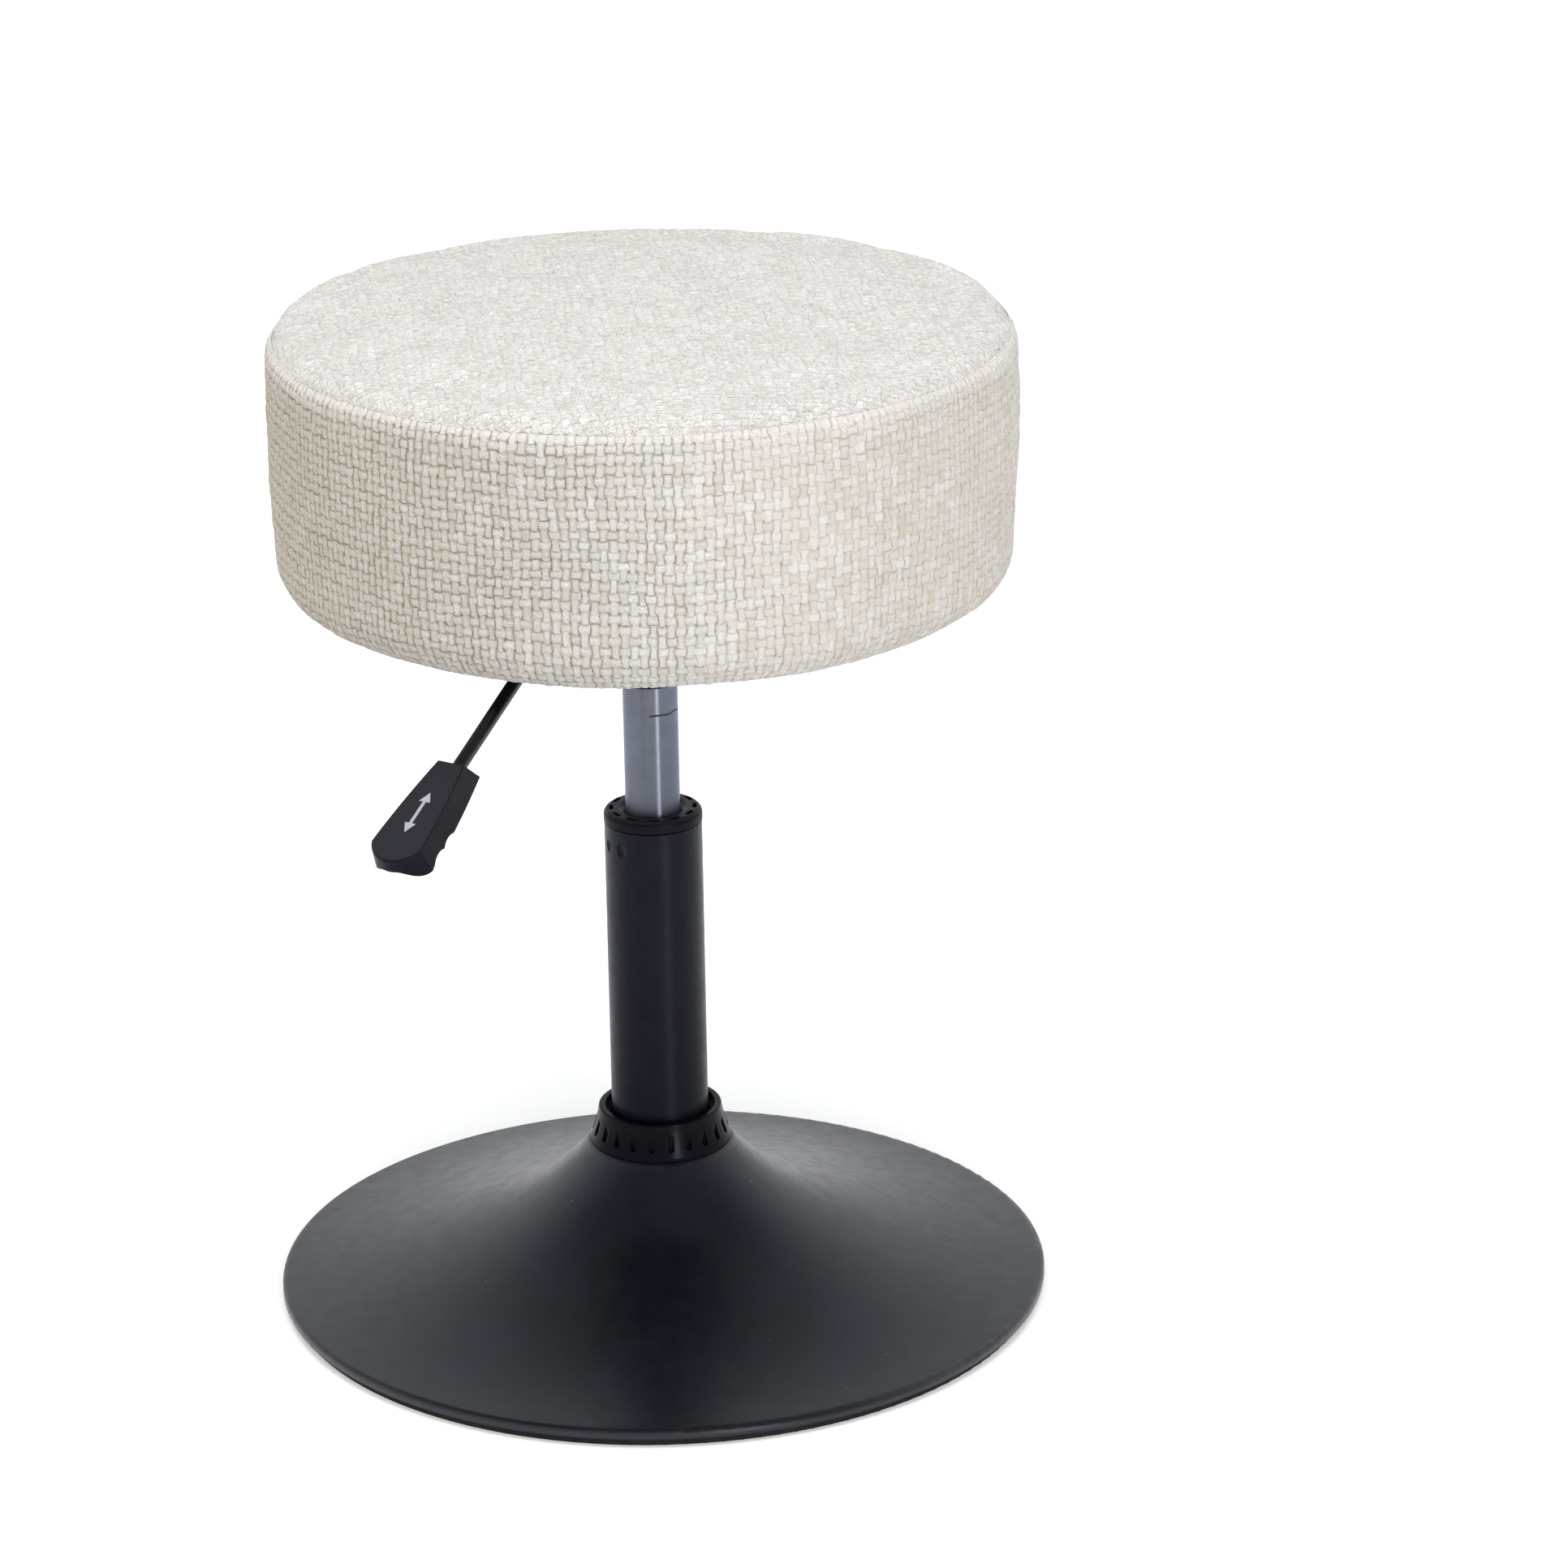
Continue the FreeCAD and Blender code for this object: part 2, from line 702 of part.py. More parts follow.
def make_bracket():
    """Folded bracket in the dish, with two ears that carry the lever's pin."""
    body = new_body("lever_bracket", turned=True)
    sketch = sketch_on(body, "XZ_Plane")
    floor = "dish_bottom + plate_thick"
    outline(sketch, [
        ("pivot_reach - ear_round", floor),
        ("pivot_reach + ear_round", floor),
        ("pivot_reach + ear_round", "lever_height", "ear_round * 1.001"),
        ("pivot_reach - ear_round", "lever_height"),
    ])
    circle(sketch, "pivot_radius", "pivot_reach", "lever_height")
    extrude(body, "Pad", sketch, "ear_gap + 2 * ear_thick", both=True)
    sketch = sketch_on(body, "XZ_Plane")
    outline(sketch, [
        ("pivot_reach - ear_round - 1", floor + " + bracket_base"),
        ("pivot_reach + ear_round + 1", floor + " + bracket_base"),
        ("pivot_reach + ear_round + 1", "lever_height + ear_round + 1"),
        ("pivot_reach - ear_round - 1", "lever_height + ear_round + 1"),
    ])
    extrude(body, "Pocket", sketch, "ear_gap", both=True)
    body = new_body("pivot_pin", turned=True)
    sketch = sketch_on(body, "XZ_Plane")
    circle(sketch, "pivot_radius", "pivot_reach", "lever_height")
    extrude(body, "Pad", sketch, "pivot_length", both=True)
    for side in (-1, 1):
        low = "ear_gap / 2 + ear_thick" if side > 0 else "-(pivot_length / 2)"
        sketch = sketch_on(body, "XZ_Plane", low)
        circle(sketch, "pivot_head", "pivot_reach", "lever_height")
        extrude(body, "Pad", sketch, "(pivot_length - ear_gap) / 2 - ear_thick")


def make_lever():
    """Round rod, level over the release button and bent down outside the plate, drilled for its pin."""
    body = new_body("lever_rod", turned=True)
    path = sketch_on(body, "XZ_Plane")
    end_x = "lever_bend_end + lever_run * cos(lever_slope)"
    end_y = "lever_height - lever_bend_drop - lever_run * sin(lever_slope)"
    spots = [("-lever_tip", "lever_height"), ("lever_bend_start", "lever_height"),
             ("lever_bend_end", "lever_height - lever_bend_drop"), (end_x, end_y)]
    ends = [FreeCAD.Vector(value(x), value(y), 0) for x, y in spots]
    path.addGeometry(Part.LineSegment(ends[0], ends[1]), False)
    path.addGeometry(arc_between(ends[1], ends[2], -value("lever_bend")), False)
    path.addGeometry(Part.LineSegment(ends[2], ends[3]), False)
    constrain(path, "Coincident", 0, 2, 1, 2)
    constrain(path, "Coincident", 1, 1, 2, 1)
    for spot, (x, y) in zip(((0, 1), (0, 2), (2, 1), (2, 2)), spots):
        pin(path, spot, x, y)
    constrain(path, "Radius", 1, size="lever_bend")
    section = sketch_on(body, "YZ_Plane", "-lever_tip")
    circle(section, "lever_radius", "0", "lever_height")
    pipe = feature(body, "AdditivePipe", section)
    pipe.Spine = path
    doc.recompute()
    sketch = sketch_on(body, "XZ_Plane")
    circle(sketch, "pivot_bore", "pivot_reach", "lever_height")
    extrude(body, "Pocket", sketch, "lever_radius * 4", both=True)
    make_paddle()


def make_paddle():
    """Moulded paddle along the rod, flared in plan, with finger scallops under its outer half."""
    body = new_body("lever_handle")
    run = "(paddle_start - lever_bend_end)"
    height = "lever_height - lever_bend_drop - %s * tan(lever_slope)" % run
    spot = "vector(paddle_start * cos(lever_heading); paddle_start * sin(lever_heading); %s)" % height
    bind(body, "Placement", "placement(%s; rotation(lever_heading; lever_slope; 0))" % spot)
    top, low = "paddle_thick / 2", "-(paddle_thick / 2)"
    wide, neck = "(paddle_width / 2)", "(paddle_neck / 2)"
    sketch = sketch_on(body, "XY_Plane", low)
    outline(sketch, [
        ("-paddle_slant - 4", "-" + neck, "paddle_side_bend"),
        ("paddle_length - paddle_tip", "-" + wide, "paddle_nose"),
        ("paddle_length - paddle_tip", wide, "paddle_side_bend"),
        ("-paddle_slant - 4", neck),
    ])
    pad = extrude(body, "Pad", sketch, "paddle_thick")
    bind(pad, "TaperAngle", "-paddle_draft")
    doc.recompute()
    sketch = sketch_on(body, "XZ_Plane")
    outline(sketch, [
        ("0", top),
        ("-paddle_slant", low),
        ("-paddle_slant - 8", low),
        ("-paddle_slant - 8", top + " + 1"),
        ("0", top + " + 1"),
    ])
    extrude(body, "Pocket", sketch, "paddle_width * 2", both=True)
    high = value(top)
    dress(body, "Fillet", "Radius", "paddle_edge",
          lambda edge: edge.BoundBox.ZMin > high - 0.01 and edge.BoundBox.XMax > 0.1)
    sketch = sketch_on(body, "XZ_Plane")
    outline(sketch, [
        ("scallop_start", low, "-scallop_bend"),
        ("scallop_start + scallop_step", low + " + scallop_drop", "-scallop_bend"),
        ("scallop_start + 2 * scallop_step", low + " + 2 * scallop_drop", "paddle_belly"),
        ("paddle_length - paddle_undercut", "0"),
        ("paddle_length + 8", "0"),
        ("paddle_length + 8", low + " - 8"),
        ("-paddle_slant - 8", low + " - 8"),
        ("-paddle_slant - 8", low),
    ])
    extrude(body, "Pocket", sketch, "paddle_width * 2", both=True)
    sketch = sketch_on(body, "YZ_Plane", "-paddle_slant - 1")
    circle(sketch, "lever_radius")
    extrude(body, "Pocket", sketch, "paddle_bore + paddle_slant + 1", reverse=True)


def make_seat():
    cos_seam, sin_seam = "cos(seam_angle)", "sin(seam_angle)"
    edge_x, edge_z = "(seat_radius - seat_top_edge)", "(seat_shoulder - seat_top_edge)"
    seam = ("%s + seat_top_edge * %s" % (edge_x, cos_seam),
            "%s + seat_top_edge * %s" % (edge_z, sin_seam))
    inner_edge = "(seat_top_edge - cloth)"
    rise = "(seat_crown - seat_shoulder)"
    crown = "((%s ^ 2 / %s + %s) / 2)" % (edge_x, rise, rise)
    seam_in = ("%s + %s * %s" % (edge_x, inner_edge, cos_seam), "%s + %s * %s" % (edge_z, inner_edge, sin_seam))
    foot_x, foot_z = "(seat_foot_radius - seat_bottom_edge)", "(seat_bottom + seat_bottom_edge)"
    turned_piece("cover_top", [
        ("0", "seat_crown - cloth", "-" + crown),
        (edge_x, "seat_shoulder - cloth", "-" + inner_edge),
        seam_in,
        (*seam, "seat_top_edge"),
        (edge_x, "seat_shoulder", crown),
        ("0", "seat_crown"),
    ])
    turned_piece("cover_band", [
        (*seam_in, "-" + inner_edge),
        ("seat_radius - cloth", edge_z, "-(seat_side_bend - cloth)"),
        ("seat_foot_radius - cloth", foot_z, "-(seat_bottom_edge - cloth)"),
        (foot_x, "seat_bottom + cloth"),
        ("hem_radius", "seat_bottom + cloth"),
        ("hem_radius", "seat_bottom"),
        (foot_x, "seat_bottom", "seat_bottom_edge"),
        ("seat_foot_radius", foot_z, "seat_side_bend"),
        ("seat_radius", edge_z, "seat_top_edge"),
        seam,
    ])
    turned_piece("seat_foam", [
        ("0", "board_top"),
        ("board_radius", "board_top"),
        ("board_radius", "seat_bottom + cloth + 3.3"),
        ("seat_foot_radius - cloth", foot_z, "seat_side_bend - cloth"),
        ("seat_radius - cloth", edge_z, inner_edge),
        (edge_x, "seat_shoulder - cloth", crown),
        ("0", "seat_crown - cloth"),
    ])
    board = new_body("seat_board")
    revolve(board, [
        ("0", "seat_bottom + cloth"),
        ("board_radius - 7", "seat_bottom + cloth"),
        ("board_radius", "seat_bottom + cloth + 3"),
        ("board_radius", "board_top"),
        ("0", "board_top"),
    ])
    dust = turned_piece("dust_cover", [
        ("hub_radius + 4", "plate_top"),
        ("hem_radius", "plate_top"),
        ("hem_radius", "plate_top + dust_thick"),
        ("hub_radius + 4", "plate_top + dust_thick"),
    ])
    for body, radius, low, depth in (
        (board, "nut_barrel", "seat_bottom + cloth", "board_top - seat_bottom"),
        (board, "nut_flange", "board_top - nut_flange_thick", "nut_flange_thick + 1"),
        (dust, "bolt_hole", "plate_top", "dust_thick + 1"),
    ):
        sketch = sketch_on(body, "XY_Plane", low)
        for x, y in bolt_spots():
            circle(sketch, radius, x, y)
        extrude(body, "Pocket", sketch, depth, reverse=True)


def bolt_spots():
    """The plate's four holes, turned to the lever's heading."""
    spots = []
    for x in ("-bolt_x", "bolt_x"):
        for y in ("-bolt_y", "bolt_y"):
            spots.append((
                "(%s) * cos(lever_heading) - (%s) * sin(lever_heading)" % (x, y),
                "(%s) * sin(lever_heading) + (%s) * cos(lever_heading)" % (x, y),
            ))
    return spots


def make_fasteners():
    low = "(plate_top - plate_thick)"
    under = low + " - bolt_washer_thick"
    profiles = {
        "seat_bolts": [
            ("0", under + " - bolt_head_thick"),
            ("bolt_head - 1.5", under + " - bolt_head_thick"),
            ("bolt_head", under + " - bolt_head_thick + 1.5"),
            ("bolt_head", under),
            ("bolt_radius", under),
            ("bolt_radius", "bolt_top"),
            ("0", "bolt_top"),
        ],
        "bolt_washers": [
            ("bolt_radius", under),
            ("bolt_washer_radius", under),
            ("bolt_washer_radius", low),
            ("bolt_radius", low),
        ],
        "tee_nuts": [
            ("bolt_radius", "seat_bottom + cloth + 3"),
            ("nut_barrel", "seat_bottom + cloth + 3"),
            ("nut_barrel", "board_top - nut_flange_thick"),
            ("nut_flange", "board_top - nut_flange_thick"),
            ("nut_flange", "board_top"),
            ("bolt_radius", "board_top"),
        ],
    }
    for label, corners in profiles.items():
        pieces = []
        for i, (x, y) in enumerate(bolt_spots()):
            body = turned_piece("%s_%d" % (label, i), corners)
            bind(body, "Placement.Base.x", x)
            bind(body, "Placement.Base.y", y)
            pieces.append(body)
        group(label, pieces)


NODES = (
    "floor_ring ballast_plate base_shell column_socket base_collar column_tube guide_bush column_end_plate "
    "bearing_lower_washer bearing_upper_washer bearing_cage bearing_balls piston_rod rod_washer rod_clip "
    "rubber_bumper piston piston_seal gas_cylinder rod_guide rod_seal valve_body release_button seat_plate "
    "plate_hub lever_bracket pivot_pin lever_rod lever_handle cover_top cover_band seat_foam seat_board "
    "dust_cover seat_bolts bolt_washers tee_nuts"
).split()


def write_parts():
    os.makedirs("parts", exist_ok=True)
    for item in doc.Objects:
        if {"Invalid", "Error"} & set(item.State):
            raise RuntimeError("%s failed: %s" % (item.Label, item.State))
    pieces = [doc.getObjectsByLabel(name)[0] for name in NODES]
    for piece in pieces:
        if piece.Shape.isNull() or not piece.Shape.isValid():
            raise RuntimeError("%s has no valid shape" % piece.Label)
    for piece in pieces:
        piece.Shape.exportStep("parts/%s.step" % piece.Label)
        print("%-22s %10.0f mm3  %d solids" % (piece.Label, piece.Shape.Volume, len(piece.Shape.Solids)))


fill_sheet()
make_base()
make_tube()
make_bush()
make_bearing()
make_piston()
make_cylinder()
make_plate()
make_bracket()
make_lever()
make_seat()
make_fasteners()
doc.recompute()
write_parts()
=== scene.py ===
import json
import math

import bpy
import numpy as np
from mathutils import Matrix, Vector


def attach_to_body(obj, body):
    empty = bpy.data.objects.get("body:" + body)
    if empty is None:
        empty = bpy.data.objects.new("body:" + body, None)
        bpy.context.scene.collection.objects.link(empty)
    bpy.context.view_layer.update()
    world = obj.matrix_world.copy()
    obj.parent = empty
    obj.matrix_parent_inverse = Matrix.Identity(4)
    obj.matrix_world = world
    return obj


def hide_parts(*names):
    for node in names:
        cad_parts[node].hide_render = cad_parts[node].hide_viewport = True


# Swivel vanity stool: cream chenille seat, satin steel lift and matte black trumpet base.
# Metres, in the frame of the solids: +Z up, origin on the floor under the column.

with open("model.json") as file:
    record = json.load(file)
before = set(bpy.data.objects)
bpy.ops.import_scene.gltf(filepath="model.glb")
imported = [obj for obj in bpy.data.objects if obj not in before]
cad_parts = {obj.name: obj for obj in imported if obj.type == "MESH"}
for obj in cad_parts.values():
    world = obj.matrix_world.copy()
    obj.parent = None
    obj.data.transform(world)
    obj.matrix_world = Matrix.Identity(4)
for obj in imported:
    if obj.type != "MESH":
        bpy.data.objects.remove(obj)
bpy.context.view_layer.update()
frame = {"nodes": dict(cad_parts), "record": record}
MM = 0.001

# outline of the cover, from the middle of the top down to the edge of the hem
SEAT_RADIUS = 186.6
FOOT_RADIUS = 185.2
CROWN_TOP = 527.6
SHOULDER = 523.6
TOP_EDGE = 16.0
SIDE_BEND = 1500.0
SEAT_BOTTOM = 386.5
BOTTOM_EDGE = 20.0
HEM_RADIUS = 140.0
SEAM_ANGLE = 35.0

# weave, in millimetres and in yarns
BAND_YARNS = 252
BAND_ROWS = 27
TOP_PITCH = (4.2, 3.8)
TOP_TURN = math.radians(5)
NUB = 1.5
HEM_PITCH = 5.3

# painted light round the seat, in degrees: where the weave is made flatter, with less painted shade in its
# gaps and a slightly darker colour, for the light on that side, and how far that reaches; where the gaps and
# their painted shade are deepest; and where the side is painted a darker olive shade
LIGHT_FLAT_AT = 328
LIGHT_FLAT_REACH = 60
SHADE_DEEP_AT = 225
SHADE_OLIVE_AT = 195

# protective film on the cylinder: its radius, its top and the height at which it is cut
FILM_RADIUS = 14.03
FILM_TOP = 332.6
FILM_CUT = 311.3

# release lever: heading, slope and the place where its handle starts
LEVER_HEADING = math.radians(237.0)
LEVER_SLOPE = math.radians(29.2)
HANDLE_START = (174.1, 337.89)
HANDLE_TOP = 7.25


# camera and light

def make_camera():
    """Camera at the photograph's place, with its tilt and lens."""
    pitch, yaw, roll = 0.3514, 0.0244, -0.016
    spot = (0, -2.75, 1.283)
    sensor, focal, width = 36, 7080.6, 1932
    forward = Vector((math.sin(yaw) * math.cos(pitch), math.cos(yaw) * math.cos(pitch), -math.sin(pitch)))
    right = Vector((math.cos(yaw), -math.sin(yaw), 0))
    up = right.cross(forward)
    axes = (right * math.cos(roll) + up * math.sin(roll),
            up * math.cos(roll) - right * math.sin(roll), -forward)
    data = bpy.data.cameras.new("camera")
    data.sensor_width = sensor
    data.lens = sensor * focal / width
    camera = bpy.data.objects.new("camera", data)
    camera.matrix_world = Matrix.Translation(spot) @ Matrix(axes).transposed().to_4x4()
    bpy.context.scene.collection.objects.link(camera)
    bpy.context.scene.camera = camera


def add_lamp(name, spot, aim, size, power, tint, mirrored=False):
    """Area lamp that either lights surfaces or only shows as a streak in the glossy ones."""
    data = bpy.data.lights.new(name, "AREA")
    data.shape = "RECTANGLE"
    data.size, data.size_y = size
    data.energy = power
    data.color = tint
    lamp = bpy.data.objects.new(name, data)
    lamp.location = spot
    lamp.visible_glossy, lamp.visible_diffuse = mirrored, not mirrored
    lamp.rotation_euler = (Vector(aim) - Vector(spot)).to_track_quat("-Z", "Y").to_euler()
    bpy.context.scene.collection.objects.link(lamp)


def background_mask(tree):
    """1 for rays that show the background, 0 for rays that only carry light."""
    path = tree.nodes.new("ShaderNodeLightPath")
    first = add(tree, "ShaderNodeMath", operation="MAXIMUM",
                links={0: path.outputs["Is Camera Ray"], 1: path.outputs["Is Glossy Ray"]})
    return add(tree, "ShaderNodeMath", operation="MAXIMUM",
               links={0: first.outputs[0], 1: path.outputs["Is Transmission Ray"]}).outputs[0]


def make_studio():
    """White surroundings that darken overhead, soft lamps and one strip that draws the streaks."""
    scene = bpy.context.scene
    scene.view_settings.view_transform = "Standard"
    world = bpy.data.worlds.new("studio")
    scene.world = world
    world.use_nodes = True
    tree = world.node_tree
    facing = add(tree, "ShaderNodeTexCoord").outputs["Generated"]
    height = add(tree, "ShaderNodeVectorMath", operation="DOT_PRODUCT", links={0: facing},
                 values={1: (0, -0.15, 1)}).outputs["Value"]
    shade = blend_colour(tree, ramp(tree, height, 0.36, 0.86), (0.97, 0.985, 1.0), (0.20, 0.205, 0.22))
    tree.links.new(shade, tree.nodes["Background"].inputs["Color"])
    add_lamp("key", (0.5, -2.5, 0.9), (0, 0, 0.4), (0.5, 1.0), 8.5, (1, 0.99, 0.975))
    add_lamp("fill", (-2.2, -1.2, 1.3), (0, 0, 0.35), (1.4, 1.6), 4.5, (1, 0.92, 0.76))
    add_lamp("overhead", (0, -0.7, 2.55), (0, 0, 0.5), (2.2, 1.8), 49, (1, 0.99, 0.985))
    add_lamp("strip", (1.15, -2.3, 0.75), (0, 0, 0.3), (0.22, 1.5), 24, (0.97, 0.98, 1), True)
    make_floor()


def make_floor():
    """Pale floor that keeps the shadow and turns white farther out."""
    mesh = bpy.data.meshes.new("floor")
    side = 14.0
    corners = [(-side, -side, 0), (side, -side, 0), (side, side, 0), (-side, side, 0)]
    mesh.from_pydata(corners, [], [(0, 1, 2, 3)])
    floor = bpy.data.objects.new("floor", mesh)
    bpy.context.scene.collection.objects.link(floor)
    mat, tree, shader = new_material("studio_floor", {"Roughness": 0.9, "Specular IOR Level": 0.1})
    shader.inputs["Base Color"].default_value = (0.9, 0.9, 0.9, 1)
    shader.inputs["Emission Color"].default_value = (1, 1, 1, 1)
    away = add(tree, "ShaderNodeVectorMath", operation="LENGTH",
               links={0: add(tree, "ShaderNodeTexCoord").outputs["Object"]}).outputs["Value"]
    lift = add(tree, "ShaderNodeMath", operation="MULTIPLY",
               links={0: background_mask(tree), 1: ramp(tree, away, 0.25, 2.2, 0.34, 0.8)})
    tree.links.new(lift.outputs[0], shader.inputs["Emission Strength"])
    mesh.materials.append(mat)


# materials

def add(tree, kind, links=None, values=None, **settings):
    """New node with its settings, fixed inputs and linked inputs."""
    node = tree.nodes.new(kind)
    for name, setting in settings.items():
        setattr(node, name, setting)
    for name, number in (values or {}).items():
        node.inputs[name].default_value = number
    for name, source in (links or {}).items():
        tree.links.new(source, node.inputs[name])
    return node


def new_material(name, values):
    """New material, its nodes and its shader with fixed values."""
    mat = bpy.data.materials.new(name)
    mat.use_nodes = True
    shader = mat.node_tree.nodes["Principled BSDF"]
    for socket, number in values.items():
        shader.inputs[socket].default_value = number
    return mat, mat.node_tree, shader


def place(tree, stretch=(1, 1, 1)):
    """Object coordinates in millimetres, stretched along the axes."""
    spot = add(tree, "ShaderNodeTexCoord").outputs["Object"]
    return add(tree, "ShaderNodeVectorMath", operation="MULTIPLY", links={0: spot},
               values={1: tuple(1000 / s for s in stretch)}).outputs[0]


def noise(tree, spot, size, detail=2.0, rough=0.5):
    """Cloudy values from 0 to 1, with clouds of the given size."""
    return add(tree, "ShaderNodeTexNoise", links={"Vector": spot},
               values={"Scale": 1 / size, "Detail": detail, "Roughness": rough}).outputs["Fac"]


def ramp(tree, source, low, high, out_low=0.0, out_high=1.0):
    """Smooth step from one value to another."""
    limits = {"From Min": low, "From Max": high, "To Min": out_low, "To Max": out_high}
    return add(tree, "ShaderNodeMapRange", links={"Value": source}, values=limits,
               interpolation_type="SMOOTHSTEP").outputs["Result"]


def blend_colour(tree, factor, first, second):
    """From one colour to another, each fixed or linked."""
    node = add(tree, "ShaderNodeMix", data_type="RGBA", links={"Factor": factor})
    for socket, colour in ((node.inputs[6], first), (node.inputs[7], second)):
        if isinstance(colour, tuple):
            socket.default_value = (*colour, 1)
        else:
            tree.links.new(colour, socket)
    return node.outputs[2]


def add_bump(tree, shader, height, depth, after=None):
    """Relief of the given depth in millimetres."""
    bump = add(tree, "ShaderNodeBump", links={"Height": height},
               values={"Strength": 1.0, "Distance": depth * MM})
    if after:
        tree.links.new(after.outputs[0], bump.inputs["Normal"])
    tree.links.new(bump.outputs[0], shader.inputs["Normal"])
    return bump


def coated(name, colour, rough, grain, depth, metallic=0.0, stretch=(1, 1, 1), tone=0.25, specks=0.0,
           gloss=0.5, round_edge=0.0, turned=0.0, painted_top_light=None):
    """Paint, moulding, rubber or plain metal: fine grain, uneven gloss and a slow drift of colour.

    Some have pale specks, rounded edges in millimetres, a turned surface or a paler colour painted on the
    faces that look up, as light from above would show them.
    """
    mat, tree, shader = new_material(name, {
        "Metallic": metallic, "Specular IOR Level": gloss, "Specular Tint": (0.84, 0.87, 1, 1)})
    spot, even = place(tree, stretch), place(tree)
    fine = noise(tree, spot, grain, 3.0)
    drift = noise(tree, even, 38.0, 3.0)
    smudge = noise(tree, even, 9.0, 4.0, 0.6)
    tree.links.new(ramp(tree, smudge, 0.3, 0.7, *rough), shader.inputs["Roughness"])
    paint = blend_colour(tree, ramp(tree, drift, 0.3, 0.7), tuple(c * (1 - tone) for c in colour),
                         tuple(c * (1 + tone) for c in colour))
    if specks:
        dots = add(tree, "ShaderNodeTexVoronoi", links={"Vector": even}, values={"Scale": 1 / 16.0})
        paint = blend_colour(tree, ramp(tree, dots.outputs["Distance"], 0.022, 0.014), paint, (specks,) * 3)
    # painted light: faces that look up are painted paler, as if lit from above
    if painted_top_light:
        normal = add(tree, "ShaderNodeNewGeometry").outputs["Normal"]
        upward = add(tree, "ShaderNodeSeparateXYZ", links={0: normal}).outputs["Z"]
        paint = blend_colour(tree, ramp(tree, upward, 0.5, 0.8), paint, painted_top_light)
    tree.links.new(paint, shader.inputs["Base Color"])
    edge = None
    if round_edge:
        edge = add(tree, "ShaderNodeBevel", samples=12, values={"Radius": round_edge * MM})
    add_bump(tree, shader, fine, depth, edge)
    if turned:
        shader.inputs["Anisotropic"].default_value = turned
        shader.inputs["Anisotropic Rotation"].default_value = 0.25
        around = add(tree, "ShaderNodeTangent", direction_type="RADIAL", axis="Z")
        tree.links.new(around.outputs[0], shader.inputs["Tangent"])
    return mat


def plywood(name):
    """Bare face veneer with grain along X."""
    mat, tree, shader = new_material(name, {"Roughness": 0.7})
    grain = noise(tree, place(tree, (9, 0.7, 0.7)), 1.0, 5.0, 0.6)
    drift = noise(tree, place(tree, (60, 14, 14)), 1.0, 2.0)
    dark = blend_colour(tree, drift, (0.50, 0.35, 0.20), (0.66, 0.50, 0.32))
    tree.links.new(blend_colour(tree, ramp(tree, grain, 0.35, 0.65), dark, (0.70, 0.55, 0.37)),
                   shader.inputs["Base Color"])
    add_bump(tree, shader, grain, 0.15)
    return mat


def felt(name, colour, size, depth):
    """Matted fibres in two directions."""
    mat, tree, shader = new_material(name, {"Roughness": 0.95, "Sheen Weight": 0.15})
    along = noise(tree, place(tree, (5, 1, 1)), size, 4.0)
    across = noise(tree, place(tree, (1, 5, 1)), size, 4.0)
    mesh = add(tree, "ShaderNodeMath", operation="MAXIMUM", links={0: along, 1: across}).outputs[0]
    tree.links.new(blend_colour(tree, ramp(tree, mesh, 0.4, 0.7), tuple(0.6 * c for c in colour),
                                tuple(1.3 * c for c in colour)), shader.inputs["Base Color"])
    add_bump(tree, shader, mesh, depth)
    return mat


